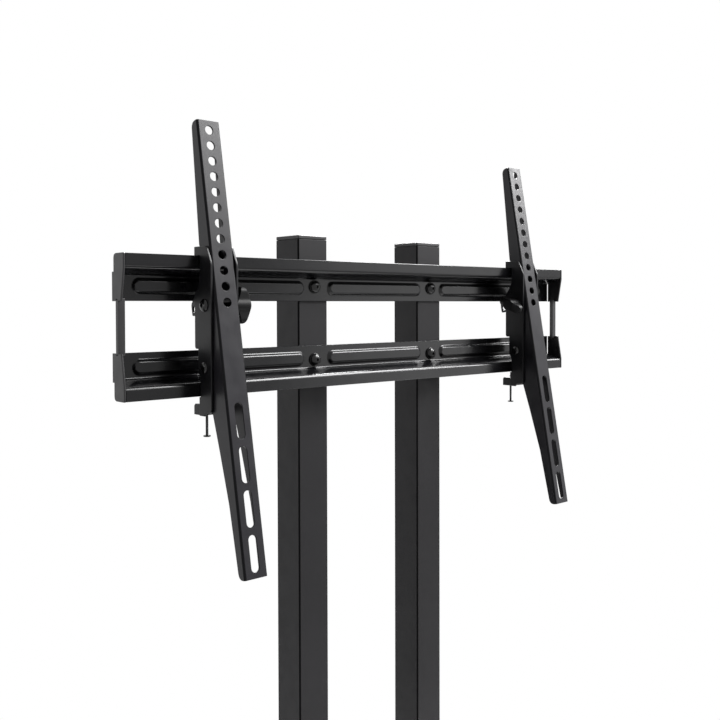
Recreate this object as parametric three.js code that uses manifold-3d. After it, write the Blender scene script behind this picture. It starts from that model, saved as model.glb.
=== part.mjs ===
// Floor stand for a flat screen. Two square posts stand on a heavy base plate and carry
// two folded steel rails. Two arms for the screen hang on the rails by hook brackets.
// Each arm tilts on a rivet in its bracket and is clamped by a hand knob.
// Lengths are millimetres, +Z is up and the screen side faces -Y.
// The origin lies on the floor under the middle of the base plate.
import * as THREE from 'three';
import { mergeVertices } from 'three/addons/utils/BufferGeometryUtils.js';
import Module from 'manifold-3d';

const wasm = await Module();
wasm.setup();

// Fits shared by all pieces
const seatGap = 0.3; // between pieces that rest on or sit in each other
const cutOverrun = 2; // how far a cutting tool runs past the faces it cuts

// Overall stand
const standHeight = 1250; // floor to the top of the post caps
const postSpacing = 187.2; // between the middles of the posts
const postSetBack = 100; // middle of the posts behind the middle of the base

// Posts
const postSize = 41.5;
const postWall = 1.5;
const postCornerRadius = 2;
const postCapThickness = 4;
const postCapPlugDepth = 15;
const postCapPlugWall = 2;
const postCapEdgeRadius = 1;

// Base plate and its pads
const baseWidth = 700;
const baseDepth = 450;
const baseThickness = 6;
const baseCornerRadius = 30;
const padRadius = 20;
const padHeight = 8;
const padEdgeRadius = 2;
const padInset = 45; // pad middle in from both edges of the base plate

// Foot plates under the posts, each held by four bolts
const footSize = 100;
const footThickness = 5;
const footCornerRadius = 8;
const footBoltInset = 13; // bolt middle in from both edges of the foot plate
const footBoltRadius = 4;
const footBoltHeadRadius = 7;
const footBoltHeadHeight = 4;

// Rails
const railLength = 672.4;
const railHeight = 44.6;
const railPairHeight = 138.8; // top of the upper rail to the bottom of the lower one
const railDrop = 28.9; // top of the upper rail below the top of the post caps
const railSheet = 2.5;
const railBendRadius = 2.5; // at the middle of the sheet
const lipHeight = 13.5;
const lipReach = 23; // front of the lip to the front of the web
const ledgeRise = 5; // the ledge climbs this much from the web to the lip
const ribHeight = 16;
const ribRise = 3;
const ribSlope = 2.5; // width of the sloping edge of a rib
const ribWall = 1.5;
const ribDrop = 30.3; // middle of the ribs from the lip edge of the rail
const middleRibLength = 151;
const outerRibStart = 108.8; // inner end of an outer rib from the middle of the rail
const outerRibLength = 210;

// Bolts that hold the rails to the posts
const railBoltDrop = 28.5; // from the lip edge of the rail
const railBoltRadius = 3;
const railBoltHeadRadius = 7;
const railBoltFlangeRadius = 7.5;
const railBoltFlangeHeight = 1.2;
const railBoltHeadHeight = 4.2;
const railBoltTail = 3; // thread standing past the nut
const nutRadius = 5.8; // across the corners
const nutThickness = 5;
const socketRadius = 2; // across the corners of the hexagon socket
const socketDepth = 2;

// End caps over the rail ends
const endPlateThickness = 2.5;
const endPlateOverhang = 0.3; // past the top and the web edge of the rail
const endPlateFront = 0.5; // in front of the lip
const endPlateBack = 22.5; // rear of the end plate beside the web
const endPlateShoulder = 17; // height of the part that covers the lip
const endPlateShoulderDepth = 19.3;
const endPlateThroat = 5; // front edge of the end plate behind the lip at the web edge
const endPlateCornerRadius = 5; // outer corner above the shoulder
const endPlateEdgeRadius = 1.5; // corner beside the lip edge
const endBarWidth = 7.5;
const endBarDepth = 5.5;
const endBarSetBack = 10; // front of the bar behind the front of the lip
const endTongueLength = 14;
const endTongueDepth = 5;
const endTongueHeight = 7;
const endTongueDrop = 2.5; // top of the tongue below the lip edge

// Places of the two arms along the rails, from the middle of the stand
const armPlaceShare = 0.3589; // of the length of the rails
const leftArmPlace = -armPlaceShare * railLength;
const rightArmPlace = armPlaceShare * railLength;

// Arms
const armWidth = 26.5;
const armSheet = 2;
const armBendRadius = 1.4; // at the middle of the sheet
const armTilt = 10.2; // degrees, lower end towards the screen side
const holeRadius = 4.5;
const holeCount = 12;
const holePitch = 15.85;
const slotCount = 4;
const slotPitch = 42;
const slotLength = 35;
const holesToSlots = 115.5; // last hole to the middle of the first slot
const armTopMargin = 10; // above the middle of the top hole
const armEndMargin = 23; // below the middle of the last slot
const armTopDepth = 10.5; // flange depth at the top end
const armUpperDepth = 19.4; // flange depth just above the upper lip
const armUpperPlace = 121; // that point above the pivot, along the arm
const armNotchDepth = 15.4; // flange depth beside the top edge of the lip
const armNotchPlace = 110;
const armLedgeDepth = 18.8; // flange depth under the ledge of the upper rail
const armLedgePlace = 91;
const armWaistDepth = 33.5; // flange depth beside the cross plate of the bracket
const armPivotDepth = 37; // flange depth around the pivot
const armPivotHalf = 5; // half height of the deepest part around the pivot
const armBelowDepth = 28.5; // flange depth in front of the lower lip
const armBelowPlace = 30;
const armLowDepth = 20.8; // flange depth a third of the way down from the pivot
const armLowPlace = 81;
const armTailDepth = 13.8;
const armTailPlace = 134;
const armEndDepth = 10; // flange depth at the lower end
const armEndRadius = 7; // rounded rear corners at both ends
const earWall = 2; // steel left behind the curved slot
const earHalfHeight = 6; // above and below the curved slot

// Pivot rivet, from the front of the lip and the top of the upper rail
const pivotSetForward = 8;
const pivotDrop = 110;
const pivotToTopHole = 234.2; // along the arm
const pivotToFace = 28.2; // pivot middle behind the front of the arm
const pivotRadius = 3;
const pivotHeadRadius = 5.5;
const pivotHeadHeight = 2.5;

// Tilt clamp: a bolt fixed in the bracket runs in a curved slot in the arm
const clampSetForward = 9; // bolt in front of the lip
const clampDrop = 49; // bolt below the top of the upper rail
const clampRadius = 3;
const clampHeadRadius = 6.5;
const clampHeadHeight = 3.5;
const clampSweep = 22; // degrees between the two tilt stops
const clampThreadDepth = 14; // bolt end inside the knob
const knobRadius = 18.6;
const knobHubRadius = 7.5; // round the bore, the grip stands out on both sides of it
const knobGripWidth = 11;
const knobHubHeight = 3.5; // under the grip
const knobTipLow = 7; // the tips of the grip from here
const knobTipHigh = 12; // to here, above the foot of the knob
const knobTopRadius = 7;
const knobThickness = 17.5;
const rightKnobTurn = THREE.MathUtils.degToRad(63); // from upright, as it was left
const knobWasherRadius = 8;
const knobWasherThickness = 0.8;

// Hook brackets, places from the front of the lip and the top of the upper rail
const bracketSheet = 2.5;
const bracketRunning = 0.3; // side play between the arm and each bracket plate
const hookRise = 9; // top of the hook above the lip
const hookReach = 9.5; // rear of the hook behind the front of the lip
const hookFingerDepth = 9; // finger behind the lip, down from the lip edge
const hookNose = 12; // front end of the hook top, in front of the lip
const plateNose = 20.5; // front edge of the plate below the sloping nose
const plateNoseDrop = 8;
const plateBottomDrop = 154.5;
const plateHeelFront = 7; // front end of the deeper heel beside the lock bar
const plateCornerRadius = 6;
const plateUpperBack = 1; // rear edge of the plate under the upper rail
const plateShoulderTop = 34; // the plate is deep from here down between the rails
const plateShoulderEnd = 92;
const plateBack = 9; // rear edge of the deep part
const plateMiddleBack = 3; // rear edge of the plate above the lower rail
const plateLowBack = 1.5; // rear edge of the plate below the lower lip
const plateRound = 3;
const plateEdge = 0.8; // its sharper corners
const crossDrop = 64; // top of the cross plate that joins the two side plates
const crossHeight = 26;

// Lock bar with its screw under the lower rail
const lockBarDrop = 147;
const lockBarHeight = 11; // it ends with the heel of the side plates
const lockBarFront = -0.3; // front of the bar in front of the lip
const lockBarBack = 16;
const lockBarChamfer = 2;
const lockScrewSetBack = 13.2;
const lockScrewRadius = 1.5;
const lockScrewHeadRadius = 3.8;
const lockScrewHeadHeight = 1.5;
const lockScrewAbove = 1.5; // screw tip above the bar at rest
const lockScrewBelow = 23.4; // screw head below the bar at rest

// How finely round shapes are cut
const roundSteps = 24;
const boltSteps = 16;
const cornerSteps = 4;
const bendSteps = 3;
const arcSteps = 6;

// Places that follow from the sizes above
const postInner = postSize - 2 * postWall;
const baseBottom = padHeight + seatGap;
const baseTop = baseBottom + baseThickness;
const footBottom = baseTop + seatGap;
const footTop = footBottom + footThickness;
const postBottom = footTop + seatGap;
const postTop = standHeight - postCapThickness - seatGap;
const railTop = standHeight - railDrop;
const postFront = postSetBack - postSize / 2;
const webBack = lipReach + railSheet; // behind the front of the lip
const lipFront = postFront - seatGap - webBack;
const railMiddleDrop = railPairHeight / 2;
const armLean = THREE.MathUtils.degToRad(armTilt);
const plateInside = armWidth / 2 + bracketRunning;
const plateOutside = plateInside + bracketSheet;

// Materials
function steel(colour, roughness) {
  return new THREE.MeshStandardMaterial({ color: colour, roughness, metalness: 0.4 });
}
function plastic(colour, roughness) {
  return new THREE.MeshStandardMaterial({ color: colour, roughness, metalness: 0 });
}
const postPaint = steel(0x37363a, 0.55);
const railPaint = steel(0x1c1c1f, 0.35);
const armPaint = steel(0x3a393e, 0.45);
const boltBlack = steel(0x111113, 0.3);
const capPlastic = plastic(0x232325, 0.5);
const knobPlastic = plastic(0x161617, 0.55);
const padRubber = plastic(0x0f0f10, 0.9);

// Solids from three.js geometry, and back again
function solidFrom(geometry) {
  const plain = geometry.clone();
  for (const name of Object.keys(plain.attributes)) {
    if (name !== 'position') plain.deleteAttribute(name);
  }
  const welded = mergeVertices(plain);
  return new wasm.Manifold(new wasm.Mesh({
    numProp: 3,
    vertProperties: Float32Array.from(welded.attributes.position.array),
    triVerts: Uint32Array.from(welded.index.array),
  }));
}

function piece(name, solid, material) {
  const cut = solid.getMesh();
  const geometry = new THREE.BufferGeometry();
  geometry.setAttribute('position', new THREE.BufferAttribute(cut.vertProperties, 3));
  geometry.setIndex(new THREE.BufferAttribute(cut.triVerts, 1));
  geometry.computeVertexNormals();
  const mesh = new THREE.Mesh(geometry, material);
  mesh.name = name;
  return mesh;
}

// A block given by its low and high corner
function block(low, high) {
  const size = high.map((value, axis) => value - low[axis]);
  const middle = high.map((value, axis) => (value + low[axis]) / 2);
  const geometry = new THREE.BoxGeometry(size[0], size[1], size[2]);
  geometry.translate(middle[0], middle[1], middle[2]);
  return solidFrom(geometry);
}

// A turned piece: the profile is pairs of radius and height, turned about Z
function turned(profile, steps = roundSteps) {
  const points = profile.map(([radius, height]) => new THREE.Vector2(radius, height));
  const geometry = new THREE.LatheGeometry(points, steps);
  geometry.rotateX(Math.PI / 2);
  return geometry;
}

function rod(radius, low, high, steps = roundSteps) {
  return turned([[0, low], [radius, low], [radius, high], [0, high]], steps);
}

// Turns a geometry made along Z so that it points along another axis
function alongX(geometry) {
  geometry.rotateY(Math.PI / 2);
  return geometry;
}
function alongBack(geometry) {
  geometry.rotateX(-Math.PI / 2);
  return geometry;
}
function moved(geometry, x, y, z) {
  geometry.translate(x, y, z);
  return geometry;
}

// A closed outline from corners given as first, second and, where round, radius
function roundedOutline(corners) {
  const shape = new THREE.Shape();
  const count = corners.length;
  corners.forEach(([a, b, radius = 0], index) => {
    const here = new THREE.Vector2(a, b);
    const before = new THREE.Vector2(...corners[(index + count - 1) % count].slice(0, 2));
    const after = new THREE.Vector2(...corners[(index + 1) % count].slice(0, 2));
    const start = before.sub(here).setLength(radius).add(here);
    const end = after.sub(here).setLength(radius).add(here);
    if (index === 0) shape.moveTo(start.x, start.y);
    else shape.lineTo(start.x, start.y);
    if (radius > 0) shape.quadraticCurveTo(here.x, here.y, end.x, end.y);
  });
  shape.closePath();
  return shape;
}

function rectangleOutline(width, height, radius) {
  const a = width / 2;
  const b = height / 2;
  return roundedOutline([[-a, -b, radius], [a, -b, radius], [a, b, radius], [-a, b, radius]]);
}

// A long round-ended outline, lying along its first direction
function stadiumOutline(length, width) {
  const radius = width / 2;
  const reach = length / 2 - radius;
  const shape = new THREE.Shape();
  shape.absarc(reach, 0, radius, -Math.PI / 2, Math.PI / 2, false);
  shape.absarc(-reach, 0, radius, Math.PI / 2, 3 * Math.PI / 2, false);
  shape.closePath();
  return shape;
}

// The outline of a sheet of even thickness, bent along a path of corners
function sheetOutline(path, thickness, bendRadius) {
  const near = [];
  const far = [];
  const origin = new THREE.Vector2(0, 0);
  function put(point, direction) {
    const side = direction.clone().rotateAround(origin, Math.PI / 2);
    side.multiplyScalar(thickness / 2);
    near.push(point.clone().add(side));
    far.push(point.clone().sub(side));
  }
  const points = path.map(([a, b]) => new THREE.Vector2(a, b));
  const directions = points.slice(1).map((point, index) => point.clone().sub(points[index]).normalize());
  put(points[0], directions[0]);
  for (let index = 1; index < points.length - 1; index += 1) {
    const before = directions[index - 1];
    const after = directions[index];
    const turn = Math.atan2(before.cross(after), before.dot(after));
    const setBack = bendRadius * Math.tan(Math.abs(turn) / 2);
    const start = points[index].clone().addScaledVector(before, -setBack);
    const toCentre = before.clone().rotateAround(origin, Math.sign(turn) * Math.PI / 2);
    const centre = start.clone().addScaledVector(toCentre, bendRadius);
    for (let step = 0; step <= bendSteps; step += 1) {
      const angle = turn * step / bendSteps;
      put(start.clone().rotateAround(centre, angle), before.clone().rotateAround(origin, angle));
    }
  }
  put(points[points.length - 1], directions[directions.length - 1]);
  return new THREE.Shape([...near, ...far.reverse()]);
}

// Extrusions: an outline in plan goes up Z, and an outline in side view goes along X
function upright(shape, low, high) {
  const geometry = new THREE.ExtrudeGeometry(shape, {
    depth: high - low,
    bevelEnabled: false,
    curveSegments: cornerSteps,
  });
  geometry.translate(0, 0, low);
  return geometry;
}

function sideways(shape, low, high) {
  const geometry = new THREE.ExtrudeGeometry(shape, {
    depth: high - low,
    bevelEnabled: false,
    curveSegments: cornerSteps,
  });
  const turnToSide = new THREE.Matrix4().makeBasis(
    new THREE.Vector3(0, 1, 0),
    new THREE.Vector3(0, 0, 1),
    new THREE.Vector3(1, 0, 0),
  );
  geometry.applyMatrix4(turnToSide);
  geometry.translate(low, 0, 0);
  return geometry;
}

// A domed bolt along Z with a hexagon socket: its head sits above zero, its shank goes down
function domedBolt(shankRadius, shankLength, headRadius, headHeight) {
  const profile = [[0, -shankLength], [shankRadius, -shankLength], [shankRadius, 0], [headRadius, 0]];
  for (let step = 1; step <= cornerSteps; step += 1) {
    const angle = step / cornerSteps * Math.PI / 2;
    profile.push([headRadius * Math.cos(angle), headHeight * Math.sin(angle)]);
  }
  profile[profile.length - 1][0] = 0;
  return turned(profile, boltSteps);
}

function socketCutter(headHeight) {
  const hexagonSides = 6;
  return rod(socketRadius, headHeight - socketDepth, headHeight + cutOverrun, hexagonSides);
}

function ring(outer, inner, low, high) {
  const body = solidFrom(rod(outer, low, high));
  return body.subtract(solidFrom(rod(inner, low - cutOverrun, high + cutOverrun)));
}

const stand = new THREE.Group();

// Base plate on four rubber pads, with threaded holes for the foot bolts
function footBoltPlaces() {
  const reach = footSize / 2 - footBoltInset;
  const places = [];
  for (const side of [-1, 1]) {
    for (const across of [-1, 1]) {
      for (const along of [-1, 1]) {
        places.push([side * postSpacing / 2 + across * reach, postSetBack + along * reach]);
      }
    }
  }
  return places;
}

function addBase() {
  const holeSize = footBoltRadius + seatGap;
  let plate = solidFrom(upright(rectangleOutline(baseWidth, baseDepth, baseCornerRadius), baseBottom, baseTop));
  for (const [x, y] of footBoltPlaces()) {
    plate = plate.subtract(solidFrom(moved(rod(holeSize, baseBottom - cutOverrun, baseTop + cutOverrun), x, y, 0)));
  }
  stand.add(piece('base_plate', plate, postPaint));
  const padX = baseWidth / 2 - padInset;
  const padY = baseDepth / 2 - padInset;
  const padProfile = [
    [0, 0],
    [padRadius - padEdgeRadius, 0],
    [padRadius, padEdgeRadius],
    [padRadius, padHeight],
    [0, padHeight],
  ];
  for (const [name, x, y] of [
    ['front_left', -padX, -padY],
    ['front_right', padX, -padY],
    ['rear_left', -padX, padY],
    ['rear_right', padX, padY],
  ]) {
    const pad = piece(`pad_${name}`, solidFrom(turned(padProfile)), padRubber);
    pad.position.set(x, y, 0);
    stand.add(pad);
  }
}

function addFootBolts() {
  const shank = footTop + seatGap - baseBottom;
  const solid = solidFrom(domedBolt(footBoltRadius, shank, footBoltHeadRadius, footBoltHeadHeight))
    .subtract(solidFrom(socketCutter(footBoltHeadHeight)));
  footBoltPlaces().forEach(([x, y], index) => {
    const bolt = piece(`foot_bolt_${index + 1}`, solid, boltBlack);
    bolt.position.set(x, y, footTop + seatGap);
    stand.add(bolt);
  });
}

// One post with its foot plate and its cap
function addPost(name, side) {
  const x = side * postSpacing / 2;
  const reach = footSize / 2 - footBoltInset;
  const group = new THREE.Group();
  group.position.set(x, postSetBack, 0);
  let foot = solidFrom(upright(rectangleOutline(footSize, footSize, footCornerRadius), footBottom, footTop));
  for (const across of [-1, 1]) {
    for (const along of [-1, 1]) {
      const cutter = rod(footBoltRadius + seatGap, footBottom - cutOverrun, footTop + cutOverrun);
      foot = foot.subtract(solidFrom(moved(cutter, across * reach, along * reach, 0)));
    }
  }
  group.add(piece(`${name}_post_foot`, foot, postPaint));

  const outer = rectangleOutline(postSize, postSize, postCornerRadius);
  outer.holes.push(rectangleOutline(postInner, postInner, postCornerRadius - postWall));
  let tube = solidFrom(upright(outer, postBottom, postTop));
  for (const drop of [railBoltDrop, railPairHeight - railBoltDrop]) {
    const cutter = alongBack(rod(railBoltRadius + seatGap, -cutOverrun, postWall + cutOverrun));
    tube = tube.subtract(solidFrom(moved(cutter, 0, -postSize / 2, railTop - drop)));
  }
  group.add(piece(`${name}_post`, tube, postPaint));
  group.add(piece(`${name}_post_cap`, postCapSolid(), capPlastic));
  stand.add(group);
}

function postCapSolid() {
  const capBottom = postTop + seatGap;
  const shoulder = standHeight - postCapEdgeRadius;
  const plug = postInner - 2 * seatGap;
  const plugHollow = plug - 2 * postCapPlugWall;
  const plugBottom = postTop - postCapPlugDepth;
  const body = solidFrom(upright(rectangleOutline(postSize, postSize, postCornerRadius), capBottom, shoulder));
  const crown = new THREE.ExtrudeGeometry(
    rectangleOutline(postSize - 2 * postCapEdgeRadius, postSize - 2 * postCapEdgeRadius, postCornerRadius),
    {
      depth: 0,
      bevelThickness: postCapEdgeRadius,
      bevelSize: postCapEdgeRadius,
      bevelSegments: 2,
      curveSegments: cornerSteps,
    },
  );
  crown.translate(0, 0, shoulder);
  const insert = rectangleOutline(plug, plug, postCornerRadius - postWall);
  const hollow = rectangleOutline(plugHollow, plugHollow, postCornerRadius - postWall);
  return body
    .add(solidFrom(crown))
    .add(solidFrom(upright(insert, plugBottom, shoulder)))
    .subtract(solidFrom(upright(hollow, plugBottom - cutOverrun, postTop)));
}

// Rails. The upper rail is modelled with its lip edge at zero; the lower one is its mirror.
const railGroup = new THREE.Group();
railGroup.position.set(0, lipFront, railTop);
stand.add(railGroup);

function ribOutline(length, inset) {
  return stadiumOutline(length - 2 * ribSlope - 2 * inset, ribHeight - 2 * ribSlope - 2 * inset);
}

// A raised rib pressed forward out of the web; the hollow behind it is the same shape, smaller
function ribSolid(length, middle, inset, front, back) {
  const geometry = new THREE.ExtrudeGeometry(ribOutline(length, inset), {
    depth: back - front,
    bevelThickness: ribSlope,
    bevelSize: ribSlope,
    bevelSegments: 2,
    curveSegments: 2 * cornerSteps,
  });
  alongBack(geometry);
  return solidFrom(moved(geometry, middle, front + ribSlope, -ribDrop));
}

// Middle line of the rail section
function railPath() {
  const webMiddle = lipReach + railSheet / 2;
  return [
    [webMiddle, -railHeight],
    [webMiddle, -lipHeight - ledgeRise],
    [railSheet / 2, -lipHeight + railSheet / 2],
    [railSheet / 2, 0],
  ];
}

function upperRailSolid() {
  const path = railPath();
  const half = railLength / 2;
  let rail = solidFrom(sideways(sheetOutline(path, railSheet, railBendRadius), -half, half));
  const outerMiddle = outerRibStart + outerRibLength / 2;
  const ribFront = lipReach - ribRise;
  const webCut = block(
    [-half, webBack, -railHeight - cutOverrun],
    [half, webBack + railHeight, 0],
  );
  for (const [length, middle] of [
    [middleRibLength, 0],
    [outerRibLength, -outerMiddle],
    [outerRibLength, outerMiddle],
  ]) {
    const raised = ribSolid(length, middle, 0, ribFront, webBack).subtract(webCut);
    rail = rail.add(raised);
    rail = rail.subtract(ribSolid(length, middle, ribWall, ribFront + ribWall, webBack));
  }
  for (const side of [-1, 1]) {
    const cutter = alongBack(rod(railBoltRadius + seatGap, lipReach - cutOverrun, webBack + cutOverrun));
    rail = rail.subtract(solidFrom(moved(cutter, side * postSpacing / 2, 0, -railBoltDrop)));
  }
  return rail;
}

function addRails() {
  const upper = upperRailSolid();
  railGroup.add(piece('upper_rail', upper, railPaint));
  const mirrored = upper.mirror([0, 0, 1]).translate([0, 0, -railPairHeight]);
  railGroup.add(piece('lower_rail', mirrored, railPaint));
}

function addRailBolts() {
  const headBack = lipReach - seatGap - railBoltFlangeHeight;
  const nutFront = webBack + seatGap + postWall + seatGap;
  const nutBack = nutFront + nutThickness;
  const shank = nutBack + railBoltTail - headBack;
  const hexagonSides = 6;
  const bolt = solidFrom(domedBolt(railBoltRadius, shank, railBoltHeadRadius, railBoltHeadHeight))
    .add(solidFrom(rod(railBoltFlangeRadius, -railBoltFlangeHeight, seatGap, boltSteps)))
    .subtract(solidFrom(socketCutter(railBoltHeadHeight)));
  const nut = solidFrom(rod(nutRadius, 0, nutThickness, hexagonSides))
    .subtract(solidFrom(rod(railBoltRadius + seatGap, -cutOverrun, nutThickness + cutOverrun)));
  for (const [sideName, side] of [['left', -1], ['right', 1]]) {
    for (const [railName, drop] of [['upper', railBoltDrop], ['lower', railPairHeight - railBoltDrop]]) {
      const set = [
        [`rail_bolt_${railName}_${sideName}`, bolt, headBack],
        [`rail_nut_${railName}_${sideName}`, nut, nutBack],
      ];
      for (const [name, solid, y] of set) {
        const mesh = piece(name, solid, boltBlack);
        mesh.position.set(side * postSpacing / 2, y, -drop);
        mesh.rotation.x = Math.PI / 2;
        railGroup.add(mesh);
      }
    }
  }
}

// End cap: a plate over each rail end, joined by a bar, with a tongue behind each lip
function endPlateOutline() {
  const front = -endPlateFront;
  return roundedOutline([
    [front, endPlateOverhang, endPlateEdgeRadius],
    [front, -lipHeight],
    [endPlateThroat, -railHeight - endPlateOverhang],
    [endPlateBack, -railHeight - endPlateOverhang],
    [endPlateBack, -endPlateShoulder],
    [endPlateShoulderDepth, -endPlateShoulder],
    [endPlateShoulderDepth, endPlateOverhang, endPlateCornerRadius],
  ]);
}

function endCapSolid() {
  const inner = railLength / 2 + seatGap;
  const outer = inner + endPlateThickness;
  const plate = solidFrom(sideways(endPlateOutline(), inner, outer));
  const tongueFront = railSheet + seatGap;
  const tongue = block(
    [inner - endTongueLength, tongueFront, -endTongueDrop - endTongueHeight],
    [outer, tongueFront + endTongueDepth, -endTongueDrop],
  );
  const boot = plate.add(tongue);
  const lowerBoot = boot.mirror([0, 0, 1]).translate([0, 0, -railPairHeight]);
  const bar = block(
    [outer - endBarWidth, endBarSetBack, -railPairHeight + railHeight - endPlateThickness],
    [outer, endBarSetBack + endBarDepth, -railHeight + endPlateThickness],
  );
  return boot.add(lowerBoot).add(bar);
}

function addEndCaps() {
  const right = endCapSolid();
  railGroup.add(piece('right_end_cap', right, capPlastic));
  railGroup.add(piece('left_end_cap', right.mirror([1, 0, 0]), capPlastic));
}

// Arm: a channel whose flanges taper, drawn with the pivot at zero and the arm upright
function armOutline() {
  const front = -pivotToFace;
  const top = pivotToTopHole + armTopMargin;
  const holesSpan = (holeCount - 1) * holePitch + holesToSlots + (slotCount - 1) * slotPitch;
  const bottom = pivotToTopHole - holesSpan - armEndMargin;
  const clamp = clampInArm(0);
  const earBack = clampInArm(clampSweep).y + clampRadius + seatGap + earWall;
  const earLow = clamp.z - earHalfHeight;
  const earHigh = clamp.z + earHalfHeight;
  return roundedOutline([
    [front, top],
    [front, bottom],
    [front + armEndDepth, bottom, armEndRadius],
    [front + armTailDepth, -armTailPlace],
    [front + armLowDepth, -armLowPlace],
    [front + armBelowDepth, -armBelowPlace],
    [front + armPivotDepth, -armPivotHalf],
    [front + armPivotDepth, armPivotHalf],
    [front + armWaistDepth, 2 * armPivotHalf],
    [front + armWaistDepth, earLow - seatGap],
    [earBack, earLow, earWall],
    [earBack, earHigh, earWall],
    [front + armLedgeDepth, armLedgePlace],
    [front + armNotchDepth, armNotchPlace],
    [front + armUpperDepth, armUpperPlace],
    [front + armTopDepth, top, armEndRadius],
  ]);
}

// Where the clamp bolt lies in the arm's own frame, for a tilt away from rest in degrees
function clampInArm(sweep) {
  const y = pivotSetForward - clampSetForward;
  const z = pivotDrop - clampDrop;
  const turn = THREE.MathUtils.degToRad(armTilt - sweep);
  return {
    y: y * Math.cos(turn) - z * Math.sin(turn),
    z: y * Math.sin(turn) + z * Math.cos(turn),
  };
}

function clampSlotSolid() {
  const half = armWidth / 2 + cutOverrun;
  let slot = null;
  for (let step = 0; step <= arcSteps; step += 1) {
    const at = clampInArm(clampSweep * step / arcSteps);
    const cutter = solidFrom(moved(alongX(rod(clampRadius + seatGap, -half, half)), 0, at.y, at.z));
    slot = slot ? slot.add(cutter) : cutter;
  }
  return slot;
}

function armSolid() {
  const reach = armWidth / 2 - armSheet / 2;
  const frontMiddle = -pivotToFace + armSheet / 2;
  const backMost = pivotToFace + armPivotDepth;
  const path = [[-reach, backMost], [-reach, frontMiddle], [reach, frontMiddle], [reach, backMost]];
  const channel = upright(sheetOutline(path, armSheet, armBendRadius), -pivotToTopHole * 2, pivotToTopHole * 2);
  const blank = sideways(armOutline(), -armWidth, armWidth);
  let arm = solidFrom(channel).intersect(solidFrom(blank));
  const cutFront = -pivotToFace - cutOverrun;
  const cutBack = -pivotToFace + armSheet + cutOverrun;
  for (let index = 0; index < holeCount; index += 1) {
    const cutter = alongBack(rod(holeRadius, cutFront, cutBack));
    arm = arm.subtract(solidFrom(moved(cutter, 0, 0, pivotToTopHole - index * holePitch)));
  }
  const firstSlot = pivotToTopHole - (holeCount - 1) * holePitch - holesToSlots;
  for (let index = 0; index < slotCount; index += 1) {
    const cutter = upright(stadiumOutline(slotLength, 2 * holeRadius), cutFront, cutBack);
    cutter.rotateZ(Math.PI / 2);
    alongBack(cutter);
    arm = arm.subtract(solidFrom(moved(cutter, 0, 0, firstSlot - index * slotPitch)));
  }
  const half = armWidth / 2 + cutOverrun;
  arm = arm.subtract(solidFrom(alongX(rod(pivotRadius + seatGap, -half, half))));
  return arm.subtract(clampSlotSolid());
}

// Hook bracket: two side plates and two cross plates, hung over the upper lip
function bracketOutline() {
  const lowerEdge = -railPairHeight;
  const clear = 2 * seatGap;
  return roundedOutline([
    [hookReach, hookRise, plateEdge],
    [-hookNose, hookRise, plateRound],
    [-plateNose, -plateNoseDrop, plateRound],
    [-plateNose, -plateBottomDrop, plateCornerRadius],
    [-plateHeelFront - plateRound, -plateBottomDrop],
    [-plateHeelFront, -lockBarDrop - lockBarHeight],
    [plateLowBack, -lockBarDrop - lockBarHeight, plateEdge],
    [plateLowBack, lowerEdge - clear],
    [-clear, lowerEdge - clear],
    [-clear, lowerEdge + lipHeight + ledgeRise],
    [plateMiddleBack, lowerEdge + lipHeight + 2 * ledgeRise],
    [plateMiddleBack, -plateShoulderEnd],
    [plateBack, -plateShoulderEnd, plateRound],
    [plateBack, -plateShoulderTop, plateRound],
    [plateUpperBack, -plateShoulderTop],
    [plateUpperBack, -lipHeight - 2 * ledgeRise],
    [-clear, -lipHeight - ledgeRise],
    [-clear, seatGap],
    [railSheet + seatGap, seatGap],
    [railSheet + seatGap, -hookFingerDepth, seatGap],
    [hookReach, -hookFingerDepth, plateRound],
  ]);
}

function bracketSolid() {
  const pairs = [[-plateOutside, -plateInside], [plateInside, plateOutside]];
  const sheet = bracketSheet;
  const overlap = bracketSheet / 2;
  const inner = plateInside + overlap;
  let bracket = block(
    [-inner, hookReach - sheet, -hookFingerDepth + plateRound],
    [inner, hookReach, hookRise - plateRound],
  ).add(block(
    [-inner, plateBack - sheet, -crossDrop - crossHeight],
    [inner, plateBack, -crossDrop],
  ));
  for (const [low, high] of pairs) bracket = bracket.add(solidFrom(sideways(bracketOutline(), low, high)));
  const reach = plateOutside + cutOverrun;
  const pivotHole = alongX(rod(pivotRadius + seatGap, -reach, reach));
  bracket = bracket.subtract(solidFrom(moved(pivotHole, 0, -pivotSetForward, -pivotDrop)));
  const clampHole = alongX(rod(clampRadius + seatGap, -reach, reach));
  return bracket.subtract(solidFrom(moved(clampHole, 0, -clampSetForward, -clampDrop)));
}

function pivotRivetSolid() {
  const seat = plateOutside + seatGap;
  const outerHead = domedBolt(pivotRadius, 2 * seat, pivotHeadRadius, pivotHeadHeight);
  const innerHead = domedBolt(pivotRadius, seat, pivotHeadRadius, pivotHeadHeight);
  innerHead.rotateX(Math.PI);
  const both = solidFrom(moved(outerHead, 0, 0, seat)).add(solidFrom(moved(innerHead, 0, 0, -seat)));
  return both;
}

// The clamp bolt points towards the middle of the stand, where its knob is
function clampBoltSolid() {
  const seat = plateOutside + seatGap;
  const knobFace = seat + knobWasherThickness + seatGap;
  return solidFrom(moved(
    domedBolt(clampRadius, seat + knobFace + clampThreadDepth, clampHeadRadius, clampHeadHeight),
    0,
    0,
    seat,
  ));
}

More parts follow.
